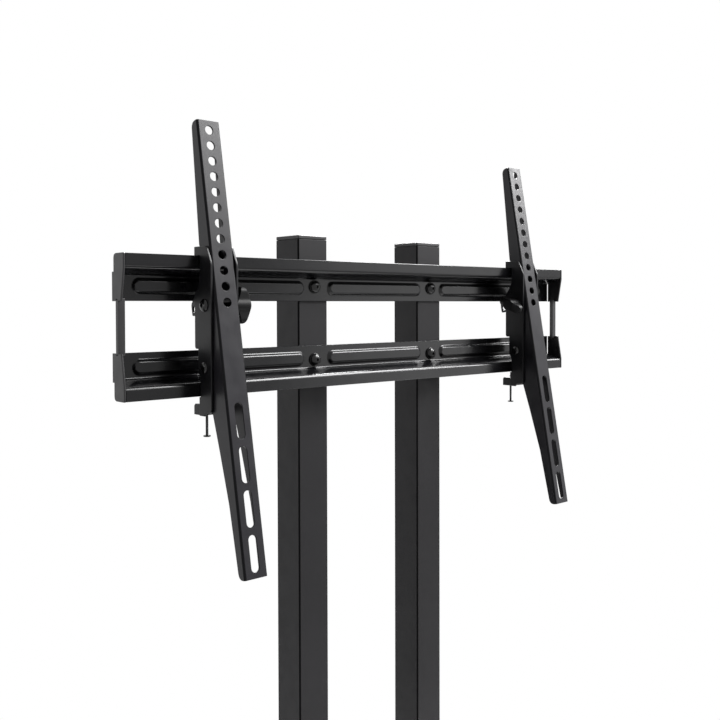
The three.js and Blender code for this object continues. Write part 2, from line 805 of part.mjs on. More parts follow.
// A grip with two wings: a turned body, kept only along a bar and round the hub
function knobSolid() {
  const profile = [
    [0, 0],
    [knobHubRadius, 0],
    [knobHubRadius, knobHubHeight],
    [knobRadius, knobTipLow],
    [knobRadius, knobTipHigh],
    [knobTopRadius, knobThickness],
    [0, knobThickness],
  ];
  const top = knobThickness + cutOverrun;
  const bar = upright(stadiumOutline(2 * knobRadius, knobGripWidth), -cutOverrun, top);
  const kept = solidFrom(bar).add(solidFrom(rod(knobHubRadius, -cutOverrun, top, 2 * roundSteps)));
  const bore = rod(clampRadius + seatGap, -cutOverrun, clampThreadDepth + seatGap);
  return solidFrom(turned(profile, 2 * roundSteps)).intersect(kept).subtract(solidFrom(bore));
}

// Lock bar between the bracket plates, with the screw that rises against the lower lip
function lockBarSolid() {
  const halfWidth = plateInside - seatGap;
  const low = -lockBarDrop - lockBarHeight;
  const outline = roundedOutline([
    [-lockBarFront, -lockBarDrop],
    [-lockBarFront, low],
    [lockBarBack, low],
    [lockBarBack, -lockBarDrop - lockBarChamfer],
    [lockBarBack - lockBarChamfer, -lockBarDrop],
  ]);
  const bar = solidFrom(sideways(outline, -halfWidth, halfWidth));
  const hole = rod(lockScrewRadius + seatGap, low - cutOverrun, -lockBarDrop + cutOverrun, roundSteps / 2);
  return bar.subtract(solidFrom(moved(hole, 0, lockScrewSetBack, 0)));
}

function lockScrewSolid() {
  const low = -lockBarDrop - lockBarHeight - lockScrewBelow;
  const headTop = low + lockScrewHeadHeight;
  const top = -lockBarDrop + lockScrewAbove;
  const profile = [
    [0, low],
    [lockScrewHeadRadius, low],
    [lockScrewHeadRadius, headTop],
    [lockScrewRadius, headTop],
    [lockScrewRadius, top],
    [0, top],
  ];
  return solidFrom(moved(turned(profile, roundSteps / 2), 0, lockScrewSetBack, 0));
}

// One arm with its bracket; inward is +1 where the middle of the stand lies towards +X
function addArmSet(name, place, inward, knobTurn) {
  const group = new THREE.Group();
  group.position.set(place, 0, 0);
  railGroup.add(group);
  group.add(piece(`${name}_hook_bracket`, bracketSolid(), armPaint));
  group.add(piece(`${name}_lock_bar`, lockBarSolid(), armPaint));
  group.add(piece(`${name}_lock_screw`, lockScrewSolid(), boltBlack));

  const tilt = new THREE.Group();
  tilt.position.set(0, -pivotSetForward, -pivotDrop);
  tilt.rotation.x = -armLean;
  tilt.add(piece(`${name}_arm`, armSolid(), armPaint));
  group.add(tilt);

  const rivet = piece(`${name}_pivot_rivet`, pivotRivetSolid(), boltBlack);
  rivet.position.copy(tilt.position);
  rivet.rotation.y = Math.PI / 2;
  group.add(rivet);

  const clamp = new THREE.Group();
  clamp.position.set(0, -clampSetForward, -clampDrop);
  clamp.rotation.y = -inward * Math.PI / 2;
  const washerSolid = ring(knobWasherRadius, clampRadius + seatGap, 0, knobWasherThickness);
  const knob = piece(`${name}_tilt_knob`, knobSolid(), knobPlastic);
  const washer = piece(`${name}_knob_washer`, washerSolid, boltBlack);
  washer.position.z = -(plateOutside + seatGap);
  knob.position.z = -(plateOutside + knobWasherThickness + 2 * seatGap);
  knob.rotation.z = knobTurn;
  for (const mesh of [washer, knob]) {
    mesh.rotation.x = Math.PI;
    clamp.add(mesh);
  }
  clamp.add(piece(`${name}_tilt_bolt`, clampBoltSolid(), boltBlack));
  group.add(clamp);
}

addBase();
addFootBolts();
addPost('left', -1);
addPost('right', 1);
addRails();
addRailBolts();
addEndCaps();
addArmSet('left', leftArmPlace, 1, 0);
addArmSet('right', rightArmPlace, -1, rightKnobTurn);

export default stand;
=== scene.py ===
# %% [markdown]
# A floor stand for a flat screen.
# The stand has two square posts on a base plate, two folded rails, and two arms that hang
# on the rails, tilt and are clamped by a knob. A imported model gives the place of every
# piece, and it is loaded first. It could be shown as it is, but its pieces are coarse and
# plain. So each piece is made again, finer and with its finish, in the same place. All
# lengths are metres, the floor is at zero and the screen side faces -Y.

import math

import bmesh
import bpy
from mathutils import Color, Matrix, Vector


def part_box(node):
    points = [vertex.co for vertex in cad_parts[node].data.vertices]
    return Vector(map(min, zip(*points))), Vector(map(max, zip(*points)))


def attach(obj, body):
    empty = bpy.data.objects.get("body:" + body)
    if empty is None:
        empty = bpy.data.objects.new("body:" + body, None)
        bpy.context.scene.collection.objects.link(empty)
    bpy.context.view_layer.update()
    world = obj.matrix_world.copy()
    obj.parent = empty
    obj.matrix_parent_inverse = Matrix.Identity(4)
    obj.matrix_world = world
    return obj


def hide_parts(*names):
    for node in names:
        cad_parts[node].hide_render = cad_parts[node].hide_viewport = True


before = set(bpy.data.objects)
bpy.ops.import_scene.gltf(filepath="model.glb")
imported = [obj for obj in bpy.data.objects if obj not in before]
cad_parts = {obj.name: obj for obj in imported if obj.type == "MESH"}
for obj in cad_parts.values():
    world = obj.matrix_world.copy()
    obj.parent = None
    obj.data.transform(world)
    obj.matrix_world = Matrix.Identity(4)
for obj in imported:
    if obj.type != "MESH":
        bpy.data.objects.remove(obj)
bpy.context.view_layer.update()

# %% [markdown]
# Everything on the real mount hangs on the upper rail. Its place could be typed in, but a
# place that is measured stays right when the model changes. So the front of the upper lip
# and its top edge are read from the frame, and all places on the rails count from there.

# %% Places on the rails
rail_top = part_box("upper_rail")[1].z
lip_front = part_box("upper_rail")[0].y


def place(x, y, z):
    return Matrix.Translation((x, y, z))


RAIL_FRAME = place(0, lip_front, rail_top)
print("rail top", round(rail_top, 4), "lip front", round(lip_front, 4))

# %% [markdown]
# The steel is powder coated: powder is sprayed on and melted to a skin. Such a coat is
# never one flat colour. Its tone drifts over a hand's breadth, its gloss changes in small
# patches, and its surface has the fine bumps of orange peel. An image could show this, but
# it needs an unwrapped mesh and has seams. Noise on Object coordinates fills space
# instead, so it runs over every edge without a seam.

# %% Nodes of a finish
NOISE_LOW = 0.3  # nearly all of a noise lies between these two
NOISE_HIGH = 0.7


def shader(name):
    material = bpy.data.materials.new(name)
    material.use_nodes = True
    tree = material.node_tree
    return material, tree, tree.nodes["Principled BSDF"]


def noise(tree, scale, detail):
    where = tree.nodes.new("ShaderNodeTexCoord")
    texture = tree.nodes.new("ShaderNodeTexNoise")
    texture.inputs["Scale"].default_value = scale
    texture.inputs["Detail"].default_value = detail
    tree.links.new(where.outputs["Object"], texture.inputs["Vector"])
    return texture.outputs["Fac"]


def spread(tree, value, low, high, from_low=NOISE_LOW, from_high=NOISE_HIGH):
    """Stretches a value to a new range."""
    ranged = tree.nodes.new("ShaderNodeMapRange")
    ranged.inputs["From Min"].default_value = from_low
    ranged.inputs["From Max"].default_value = from_high
    ranged.inputs["To Min"].default_value = low
    ranged.inputs["To Max"].default_value = high
    tree.links.new(value, ranged.inputs["Value"])
    return ranged.outputs["Result"]


print("noise is read from", NOISE_LOW, "to", NOISE_HIGH)

# %% [markdown]
# Two more tools turn a noise into something that is seen. A mix between a darker and a
# lighter shade gives the drift of tone. A Bump node tilts the normals, which gives the
# peel. The peel could be real geometry, but at a tenth of a millimetre that would take
# millions of faces. Colours are noted as they look on a screen, from 0 to 255, and Blender
# turns them into the linear values of a shader.

# %% Tone, relief and colour
BUMP_STRENGTH = 0.35
SCREEN_WHITE = 255


def tinted(tree, value, dark, light):
    mix = tree.nodes.new("ShaderNodeMix")
    mix.data_type = "RGBA"
    mix.inputs["A"].default_value = (*dark, 1)
    mix.inputs["B"].default_value = (*light, 1)
    tree.links.new(value, mix.inputs["Factor"])
    return mix.outputs["Result"]


def relief(tree, height, distance):
    bump = tree.nodes.new("ShaderNodeBump")
    bump.inputs["Distance"].default_value = distance
    bump.inputs["Strength"].default_value = BUMP_STRENGTH
    tree.links.new(height, bump.inputs["Height"])
    return bump.outputs["Normal"]


def linear(colour):
    return list(Color([channel / SCREEN_WHITE for channel in colour]).from_srgb_to_scene_linear())


print("a screen colour of 28 is", round(linear((28, 28, 28))[0], 4), "in a shader")

# %% [markdown]
# Paints and plastics here differ only in colour, gloss and grain, so one function makes
# them all. Each of its three noises steers one input of the shader: a coarse one the
# colour, a finer one the roughness, and the finest one the relief.

# %% A coat of paint
TONE_SCALE = 9  # patches of tone in a metre
TONE_DETAIL = 4
DARK_SHARE = 0.82
LIGHT_SHARE = 1.2
GLOSS_SCALE = 60
GLOSS_DETAIL = 5
GLOSS_DRIFT = 0.06  # how far the roughness strays to each side
PEEL_DETAIL = 3


def coat(name, colour, roughness, specular, peel, drift=GLOSS_DRIFT):
    """A peel is a pair: how many bumps lie in a metre, and how high they are."""
    material, tree, surface = shader(name)
    base = linear(colour)
    tone = spread(tree, noise(tree, TONE_SCALE, TONE_DETAIL), 0, 1)
    tint = tinted(tree, tone, [c * DARK_SHARE for c in base], [c * LIGHT_SHARE for c in base])
    tree.links.new(tint, surface.inputs["Base Color"])
    gloss = spread(tree, noise(tree, GLOSS_SCALE, GLOSS_DETAIL), roughness - drift, roughness + drift)
    tree.links.new(gloss, surface.inputs["Roughness"])
    bumps, height = peel
    tree.links.new(relief(tree, noise(tree, bumps, PEEL_DETAIL), height), surface.inputs["Normal"])
    surface.inputs["Specular IOR Level"].default_value = specular
    return material


print("roughness strays by", GLOSS_DRIFT)

# %% [markdown]
# The stand looks black all over, yet no two kinds of piece have the same black. The rails
# are satin and mirror the lamps, the posts are textured and look grey, and the arms lie
# between them. Bolts are smooth black oxide, and caps, knobs and pads are moulded. All
# could share one paint, but then the picture would lose its depth. Two darker, duller
# materials are painted shade on bent corners. They draw the corners as thin dark lines, the
# shade that a rounded corner shows when it mirrors dark surroundings.

# %% Finishes of the stand
RAIL_PEEL = (1500, 0.00006)
POST_PEEL = (1900, 0.00012)
ARM_PEEL = (1700, 0.0001)
OXIDE_PEEL = (2600, 0.00004)
CAP_PEEL = (2400, 0.00008)
KNOB_PEEL = (2200, 0.00012)
RUBBER_PEEL = (1200, 0.0002)
materials_before = len(bpy.data.materials)
RAIL_COAT = coat("rail_coat", (14, 14, 16), roughness=0.2, specular=0.28, peel=RAIL_PEEL, drift=0.04)
POST_COAT = coat("post_coat", (27, 26, 28), roughness=0.5, specular=0.2, peel=POST_PEEL)
ARM_COAT = coat("arm_coat", (28, 27, 31), roughness=0.34, specular=0.25, peel=ARM_PEEL)
BRACKET_COAT = coat("bracket_coat", (24, 24, 26), roughness=0.38, specular=0.2, peel=ARM_PEEL)
FASTENER = coat("black_fastener_finish", (9, 9, 10), roughness=0.2, specular=0.35, peel=OXIDE_PEEL,
                drift=0.05)
CAP_PLASTIC = coat("cap_plastic_finish", (28, 27, 29), roughness=0.42, specular=0.4, peel=CAP_PEEL)
KNOB_PLASTIC = coat("knob_plastic_finish", (9, 9, 10), roughness=0.45, specular=0.12, peel=KNOB_PEEL)
# Painted shade: darker, duller materials for the bent corners of posts and arms.
POST_FOLD_PAINTED_SHADE = coat("post_fold_painted_shade", (12, 12, 13), roughness=0.6, specular=0.04, peel=POST_PEEL)
ARM_FOLD_PAINTED_SHADE = coat("arm_fold_painted_shade", (20, 20, 22), roughness=0.5, specular=0.08, peel=ARM_PEEL)
PAD_RUBBER = coat("pad_rubber_finish", (14, 14, 14), roughness=0.8, specular=0.3, peel=RUBBER_PEEL)
print("finishes:", len(bpy.data.materials) - materials_before)

# %% [markdown]
# A bmesh is Blender's workbench for a mesh. Its operators leave doubles where a spin
# closes, and may leave faces that point inwards. Each form could be mended by itself, but
# it is safer that all end in the same step, which welds them and turns their faces out. A
# mirrored copy is inside out again, so the helper that moves a mesh watches for that.

# %% Finish a form
WELD = 1e-7


def mesh_of(form):
    bmesh.ops.remove_doubles(form, verts=form.verts, dist=WELD)
    bmesh.ops.recalc_face_normals(form, faces=form.faces)
    mesh = bpy.data.meshes.new("form")
    form.to_mesh(mesh)
    form.free()
    return mesh


def moved(mesh, matrix):
    """Moves a mesh, and turns its faces out again where the matrix mirrors it."""
    mesh.transform(matrix)
    if matrix.determinant() < 0:
        mesh.flip_normals()
    return mesh


print("forms are welded at", WELD, "m")

# %% [markdown]
# Sheet parts are cut from outlines with round corners. An outline could be a curve with
# handles, but a closed ring of points is easier to measure and to cut. A round corner
# starts at a chosen distance before its point, and a quadratic curve leads to the other
# side.

# %% Outlines with round corners
CORNER_STEPS = 8


def rounded(corners):
    """Corners are first, second and, where round, how far the curve starts before the corner."""
    points = []
    count = len(corners)
    for index, corner in enumerate(corners):
        here = Vector(corner[:2])
        setback = corner[2] if len(corner) > 2 else 0
        if not setback:
            points.append(here)
            continue
        before = Vector(corners[index - 1][:2])
        after = Vector(corners[(index + 1) % count][:2])
        start = here + (before - here).normalized() * setback
        end = here + (after - here).normalized() * setback
        for step in range(CORNER_STEPS + 1):
            share = step / CORNER_STEPS
            points.append(start.lerp(here, share).lerp(here.lerp(end, share), share))
    return points


def rectangle(width, height, corner):
    a = width / 2
    b = height / 2
    return rounded([(-a, -b, corner), (a, -b, corner), (a, b, corner), (-a, b, corner)])


print("a round corner has", CORNER_STEPS + 1, "points")

# %% [markdown]
# Curves and modifiers are shaped by Blender only once they belong to an object of the
# scene. The result could stay live until the render, but a piece is easier to move, join
# and cut as a plain mesh. So an object is put in the scene for a moment, its evaluated
# mesh is taken, and the object goes again.

# %% From an object to its mesh


def shown(name, data):
    made = bpy.data.objects.new(name, data)
    bpy.context.scene.collection.objects.link(made)
    return made


def mesh_of_object(holder):
    bpy.context.view_layer.update()
    return bpy.data.meshes.new_from_object(holder.evaluated_get(bpy.context.evaluated_depsgraph_get()))


# %% [markdown]
# No edge of the real plates is perfectly sharp, and the thin light line on a soft edge
# tells the eye that it is steel. A flat plate could be a prism with bevelled edges, but a
# bevel fails where an outline has many short sides. A filled 2D curve rounds its own edges
# evenly and takes holes too. It is turned into a mesh at once, before it gets its place.

# %% Flat plates with rounded edges
PLATE_EDGE = 0.0006
EDGE_STEPS = 2
CURVE_WELD = 1e-6


def area_of(points):
    return sum(start.cross(end) for start, end in zip(points, points[1:] + points[:1])) / 2


def plate(outlines, thickness, edge=PLATE_EDGE):
    """The first outline is the rim, the others are holes."""
    curve = bpy.data.curves.new("plate", "CURVE")
    curve.dimensions = "2D"
    curve.fill_mode = "BOTH"
    curve.extrude = thickness / 2 - edge
    curve.bevel_depth = edge
    curve.bevel_resolution = EDGE_STEPS
    curve.offset = -edge
    for index, points in enumerate(outlines):
        if (area_of(points) > 0) != (index == 0):
            points = points[::-1]
        spline = curve.splines.new("POLY")
        spline.points.add(len(points) - 1)
        for target, point in zip(spline.points, points):
            target.co = (point[0], point[1], 0, 1)
        spline.use_cyclic_u = True
    holder = shown("plate", curve)
    flat = mesh_of_object(holder)
    bpy.data.objects.remove(holder)
    bpy.data.curves.remove(curve)
    form = bmesh.new()
    form.from_mesh(flat)
    bmesh.ops.remove_doubles(form, verts=form.verts, dist=CURVE_WELD)
    return mesh_of(form)


print("edges of plates are rounded by", PLATE_EDGE, "m")

# %% [markdown]
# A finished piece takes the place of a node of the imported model, rides on a body and has a
# material slot. Its mesh already lies in its place, so its object stays at the origin.
# Painted steel has round heads and crisp folds side by side. Flat shading would facet the
# heads, and smooth shading would blur the folds. So shading is smooth up to an angle, and
# a modifier weighs the normals by the size of the faces, which keeps large faces flat.

# %% Hand a piece to the frame
SMOOTH_ANGLE = math.radians(32)


def piece(name, mesh, body, node, material):
    mesh.shade_smooth()
    mesh.set_sharp_from_angle(angle=SMOOTH_ANGLE)
    mesh.materials.clear()
    mesh.materials.append(material)
    mesh.name = name
    made = shown(name, mesh)
    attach(made, body)
    if node:
        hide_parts(node)
    even = made.modifiers.new("even_normals", "WEIGHTED_NORMAL")
    even.keep_sharp = True
    return made


def ends_of(node):
    """Low corner, high corner and middle of a node of the frame."""
    low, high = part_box(node)
    return low, high, (low + high) / 2


print("shading is smooth up to", round(math.degrees(SMOOTH_ANGLE)), "degrees")

# %% [markdown]
# The base is a heavy steel plate with round corners, and each post ends in a smaller plate
# of the same shape. They could be scaled cubes, but scaling would stretch the round
# corners. Both are cut flat from the outline of a rectangle, at the middle of their node.

# %% Base plate and foot plates
BASE_WIDTH = 0.700
BASE_DEPTH = 0.450
BASE_CORNER = 0.030
FOOT_SIZE = 0.100
FOOT_CORNER = 0.008


def flat_piece(node, width, depth, corner):
    low, high, centre = ends_of(node)
    flat = plate([rectangle(width, depth, corner)], high.z - low.z)
    piece(f"{node}_finish", moved(flat, place(*centre)), "stand", node, POST_COAT)


flat_piece("base_plate", BASE_WIDTH, BASE_DEPTH, BASE_CORNER)
for side in ("left", "right"):
    flat_piece(f"{side}_post_foot", FOOT_SIZE, FOOT_SIZE, FOOT_CORNER)

# %% [markdown]
# Rubber pads lift the base plate off the floor. A moulded pad is round, with a soft lower
# edge and a shallow groove round its side. It could be a bevelled cylinder with a cut, but
# half a profile that is spun round Z gives edge and groove in one step. The same spin
# makes every round piece of the stand.

# %% Rubber pads
ROUND_STEPS = 48
PAD_RADIUS = 0.020
PAD_EDGE = 0.002
PAD_GROOVE = 0.0008
ROUND_SHARE = 0.3  # how far the middle of a two-step rounding lies from the corner


def turned(profile, steps=ROUND_STEPS):
    """Spins a profile, given as pairs of radius and height, round Z."""
    form = bmesh.new()
    line = [form.verts.new((radius, 0, height)) for radius, height in profile]
    for start, end in zip(line, line[1:]):
        form.edges.new((start, end))
    bmesh.ops.spin(form, geom=form.verts[:] + form.edges[:], cent=(0, 0, 0), axis=(0, 0, 1),
                   angle=2 * math.pi, steps=steps, use_merge=True)
    return mesh_of(form)


def pad_mesh(height):
    groove = height / 2
    return turned([
        (0, 0),
        (PAD_RADIUS - PAD_EDGE, 0),
        (PAD_RADIUS - PAD_EDGE * ROUND_SHARE, PAD_EDGE * ROUND_SHARE),
        (PAD_RADIUS, PAD_EDGE),
        (PAD_RADIUS, groove),
        (PAD_RADIUS - PAD_GROOVE, groove + PAD_GROOVE),
        (PAD_RADIUS, groove + 2 * PAD_GROOVE),
        (PAD_RADIUS, height),
        (0, height),
    ])


for corner in ("front_left", "front_right", "rear_left", "rear_right"):
    node = f"pad_{corner}"
    low, high, centre = ends_of(node)
    pad = moved(pad_mesh(high.z - low.z), place(centre.x, centre.y, low.z))
    piece(f"{node}_finish", pad, "stand", node, PAD_RUBBER)
print("pads:", len(pad.polygons), "faces each")

# %% [markdown]
# Sockets, holes and slots have straight walls, so what cuts them is a prism: one flat face
# of any outline that is extruded. A primitive cylinder would do for round holes, but not
# for a slot. The step that extrudes a face is a helper of its own, since rails and knobs
# grow by it too.

# %% Prisms


def grown(form, face, way):
    """Extrudes a face along a way and gives back the new end face."""
    made = bmesh.ops.extrude_face_region(form, geom=[face])["geom"]
    end = next(item for item in made if isinstance(item, bmesh.types.BMFace))
    bmesh.ops.translate(form, vec=way, verts=end.verts)
    return end


def prism(points, low, high):
    form = bmesh.new()
    face = form.faces.new([form.verts.new((point[0], point[1], low)) for point in points])
    grown(form, face, (0, 0, high - low))
    return mesh_of(form)


print("tools made: grown, prism")

# %% [markdown]
# A Boolean modifier takes a prism from a piece, or keeps what both share. The new rims are
# knife sharp, while a rim that has been painted is soft, so a Bevel modifier eases them.
# The bevel operator would need a list of the rims, but the modifier finds them by their
# angle. Both are applied at once, so a finished piece holds only its final mesh.

# %% Cuts and eased rims
EASE_ANGLE = math.radians(35)


def cut(mesh, cutter, operation="DIFFERENCE"):
    body = shown("body", mesh)
    tool = shown("tool", cutter)
    step = body.modifiers.new("cut", "BOOLEAN")
    step.operation = operation
    step.solver = "EXACT"
    step.use_self = True
    step.object = tool
    result = mesh_of_object(body)
    bpy.data.objects.remove(body)
    bpy.data.objects.remove(tool)
    return result


def eased(mesh, width):
    body = shown("body", mesh)
    step = body.modifiers.new("ease", "BEVEL")
    step.width = width
    step.segments = EDGE_STEPS
    step.limit_method = "ANGLE"
    step.angle_limit = EASE_ANGLE
    step.use_clamp_overlap = False
    result = mesh_of_object(body)
    bpy.data.objects.remove(body)
    return result


print("edges over", round(math.degrees(EASE_ANGLE)), "degrees are eased")

# %% [markdown]
# All visible bolts are button heads with a hexagon socket. A flattened sphere on a
# cylinder would do from afar, but its rim would be too thin. Here the dome and the shank
# are one turned profile, and a six-sided prism cuts the socket. The seat of the head is at
# zero, so that a bolt is placed by the face that it clamps.

# %% Button head bolts
ARC_STEPS = 12
SOCKET_DEPTH = 0.002
SOCKET_EDGE = 0.0001
HEXAGON = 6


def circle(radius, steps=ROUND_STEPS, first=0, second=0):
    turns = [2 * math.pi * step / steps for step in range(steps)]
    return [Vector((first + radius * math.cos(turn), second + radius * math.sin(turn))) for turn in turns]


def dome_profile(head, dome, shank, length):
    profile = [(0, -length), (shank, -length), (shank, 0), (head, 0)]
    for step in range(1, ARC_STEPS):
        turn = step / ARC_STEPS * math.pi / 2
        profile.append((head * math.cos(turn), dome * math.sin(turn)))
    return profile + [(0, dome)]


def domed_bolt(head, dome, shank, length, socket):
    body = turned(dome_profile(head, dome, shank, length))
    hexagon = prism(circle(socket, HEXAGON), dome - SOCKET_DEPTH, 2 * dome)
    return eased(cut(body, hexagon), SOCKET_EDGE)


print("a dome has", ARC_STEPS, "steps from rim to top")

# %% [markdown]
# Eight bolts hold the foot plates to the base. Their places are the middles of their
# nodes, and the head sits as far below the top of the node as its dome is high.

# %% Foot bolts
FOOT_BOLT_COUNT = 8
FOOT_BOLT_HEAD = 0.007
FOOT_BOLT_DOME = 0.004
FOOT_BOLT_SHANK = 0.004
FOOT_BOLT_SOCKET = 0.0025

for number in range(1, FOOT_BOLT_COUNT + 1):
    node = f"foot_bolt_{number}"
    low, high, centre = ends_of(node)
    seat = high.z - FOOT_BOLT_DOME
    bolt = domed_bolt(FOOT_BOLT_HEAD, FOOT_BOLT_DOME, FOOT_BOLT_SHANK, seat - low.z, FOOT_BOLT_SOCKET)
    piece(f"{node}_finish", moved(bolt, place(centre.x, centre.y, seat)), "stand", node,
          FASTENER)
print("foot bolts:", len(bolt.polygons), "faces each")

# %% [markdown]
# A post is a square steel tube. It could be a cube with a Solidify modifier, but a filled
# curve with a square hole gives walls, round corners and soft ends in one step. Shade is
# painted on the bent corners of the tube. The faces that look along neither X nor Y get a
# darker, duller material, which draws the corners as thin dark lines.

# %% Tools for posts
POST_SIZE = 0.0415
POST_WALL = 0.0015
POST_CORNER = 0.002
POST_INNER = POST_SIZE - 2 * POST_WALL
SHEET_EDGE = 0.0004
FOLD_SHARE = 0.2  # of a normal's length that lies along both directions


def square(size, corner, height, edge):
    return plate([rectangle(size, size, corner)], height, edge)


def tube(height):
    rim = rectangle(POST_SIZE, POST_SIZE, POST_CORNER)
    hollow = rectangle(POST_INNER, POST_INNER, POST_CORNER - POST_WALL)
    return plate([rim, hollow], height, SHEET_EDGE)


def paint_shade_on_folds(mesh, material):
    """Paints shade on the faces that look between X and Y, with a second, darker material."""
    mesh.materials.append(material)
    for face in mesh.polygons:
        if min(abs(face.normal.x), abs(face.normal.y)) > FOLD_SHARE:
            face.material_index = 1


print("inner side of the tube", round(POST_INNER, 4), "m")

# %% [markdown]
# A flush plastic cap closes the top of each post. It is a lid as wide as the tube, with a
# plug that reaches into it. Lid and plug could be one turned or extruded form, but they
# differ only in size, so the same square plate is used twice. A fine joint stays open
# between plug and tube.

# %% Posts and their caps
SEAT_GAP = 0.0003  # between pieces that rest on each other
CAP_THICKNESS = 0.004
CAP_EDGE = 0.0008


def joined(*meshes):
    form = bmesh.new()
    for mesh in meshes:
        form.from_mesh(mesh)
    both = bpy.data.meshes.new("joined")
    form.to_mesh(both)
    form.free()
    return both


for side in ("left", "right"):
    node = f"{side}_post"
    low, high, centre = ends_of(node)
    made = piece(f"{node}_finish", moved(tube(high.z - low.z), place(*centre)), "stand", node,
                 POST_COAT)
    # Painted shade on the bent corners of the post.
    paint_shade_on_folds(made.data, POST_FOLD_PAINTED_SHADE)
    node = f"{side}_post_cap"
    low, high, centre = ends_of(node)
    plug_height = high.z - low.z - CAP_THICKNESS
    lid = square(POST_SIZE, POST_CORNER, CAP_THICKNESS, CAP_EDGE)
    plug = square(POST_INNER - 2 * SEAT_GAP, POST_CORNER - POST_WALL, plug_height, SHEET_EDGE)
    lid = moved(lid, place(centre.x, centre.y, high.z - CAP_THICKNESS / 2))
    plug = moved(plug, place(centre.x, centre.y, low.z + plug_height / 2))
    piece(f"{node}_finish", joined(lid, plug), "stand", node, CAP_PLASTIC)
print("posts reach up to", round(high.z, 4), "m")

# %% [markdown]
# Each post is welded to its foot plate, and a weld bead has the ripples of its molten
# pool. A bump texture would leave its silhouette smooth, so the bead is real geometry. A
# flat grid is laid over a list of rings: its columns follow a ring, its rows lead from
# ring to ring.

# %% A skin over rings


def skin_over(rings):
    form = bmesh.new()
    across = len(rings[0])
    along = len(rings) - 1
    bmesh.ops.create_grid(form, x_segments=across, y_segments=along, size=1)
    for vert in form.verts:
        column = round((vert.co.x + 1) / 2 * across) % across
        row = round((vert.co.y + 1) / 2 * along)
        vert.co = rings[row][column]
    return mesh_of(form)


print("a bead runs for about", round(4 * POST_SIZE, 3), "m")

# %% [markdown]
# The welder goes once round the foot of the post, close to its wall. The path is the
# outline of the post, made a little wider and divided so finely that each ripple gets
# several rings.

# %% Path of a weld bead
WELD_SIZE = 0.0022
WELD_PITCH = 0.0022
RINGS_PER_RIPPLE = 5
BEAD_SHARE = 0.6  # of the bead's size that the path lies outside the post


def weld_path():
    size = POST_SIZE + WELD_SIZE * BEAD_SHARE
    corners = rectangle(size, size, POST_CORNER * 2)
    path = []
    for start, end in zip(corners, corners[1:] + corners[:1]):
        steps = max(1, round((end - start).length / (WELD_PITCH / RINGS_PER_RIPPLE)))
        path += [start.lerp(end, step / steps) for step in range(steps)]
    return path


print("rings of a bead:", len(weld_path()))

# %% [markdown]
# The rings stand upright on the path. Their radius swings with the length already run,
# which gives the ripples. A bevelled curve with a radius at each point could swing too,
# but it would sink into the foot plate. Here all that would lie below the top of that
# plate is pressed flat on it.

# %% Weld beads
WELD_RIPPLE = 0.0003
RING_STEPS = 12
POST_SPACING = 0.1872
POST_BACK = 0.100  # middle of the posts behind the middle of the base


def weld_mesh(foot_top):
    path = weld_path()
    rings = []
    run = 0
    for index, point in enumerate(path):
        ahead = path[(index + 1) % len(path)]
        way = (ahead - path[index - 1]).normalized()
        run += (ahead - point).length
        radius = WELD_SIZE + WELD_RIPPLE * math.sin(2 * math.pi * run / WELD_PITCH)
        ring = []
        for step in range(RING_STEPS):
            turn = 2 * math.pi * step / RING_STEPS
            out = Vector((way.y, -way.x)) * radius * math.cos(turn)
            ring.append((point.x + out.x, point.y + out.y, foot_top + max(0, radius * math.sin(turn))))
        rings.append(ring)
    return skin_over(rings + rings[:1])


for side, sign in (("left", -1), ("right", 1)):
    foot_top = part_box(f"{side}_post_foot")[1].z
    bead = moved(weld_mesh(foot_top), place(sign * POST_SPACING / 2, POST_BACK, 0))
    piece(f"{side}_weld", bead, "stand", None, POST_COAT)
print("weld beads:", len(bead.polygons), "faces each")

# %% [markdown]
# Rails and arms are folded from sheet. A folded sheet could be a thin surface with a
# Solidify modifier, but then its folds would have uneven walls. So its section is worked
# out: a line of corners is made as thick as the sheet, with an arc at each fold. The cut
# edges are eased a little, so that they catch a thin line of light.

# %% Section of a folded sheet


def folded(path, thickness, bend):
    points = [Vector(point) for point in path]
    ways = [(end - start).normalized() for start, end in zip(points, points[1:])]
    near = []
    far = []

    def put(point, way, half):
        side = Vector((-way.y, way.x)) * half
        near.append(point + side)
        far.append(point - side)

    half = thickness / 2
    put(points[0], ways[0], half - SHEET_EDGE)
    put(points[0] + ways[0] * SHEET_EDGE, ways[0], half)
    for index in range(1, len(points) - 1):
        before = ways[index - 1]
        after = ways[index]
        turn = math.atan2(before.cross(after), before.dot(after))
        start = points[index] - before * bend * math.tan(abs(turn) / 2)
        centre = start + Vector((-before.y, before.x)) * math.copysign(bend, turn)
        for step in range(CORNER_STEPS + 1):
            part_turn = Matrix.Rotation(turn * step / CORNER_STEPS, 2)
            put(centre + part_turn @ (start - centre), part_turn @ before, half)
    put(points[-1] - ways[-1] * SHEET_EDGE, ways[-1], half)
    put(points[-1], ways[-1], half - SHEET_EDGE)
    return near + far[::-1]


print("cut edges of sheet are eased by", SHEET_EDGE, "m")

# %% [markdown]
# Long ribs are pressed forward out of the web of each rail. They stiffen it, and their
# soft slopes carry the brightest lines of the picture. A rib could be a bevelled bar that
# is laid on, but a pressed one is part of the sheet and rises from it in a smooth swing.
# So the rise is a formula: it depends on how far a place lies inside the rib's outline,
# which is a line with a round end.

# %% Rise of a pressed rib
RIB_HEIGHT = 0.016
RIB_RISE = 0.003
RIB_SLOPE = 0.0032
RIB_SOFT_SHARE = 0.4  # how much of the slope is rounded, the rest is straight
RIB_DROP = 0.0303
MIDDLE_RIB = 0.151
OUTER_RIB_START = 0.1088
OUTER_RIB = 0.210


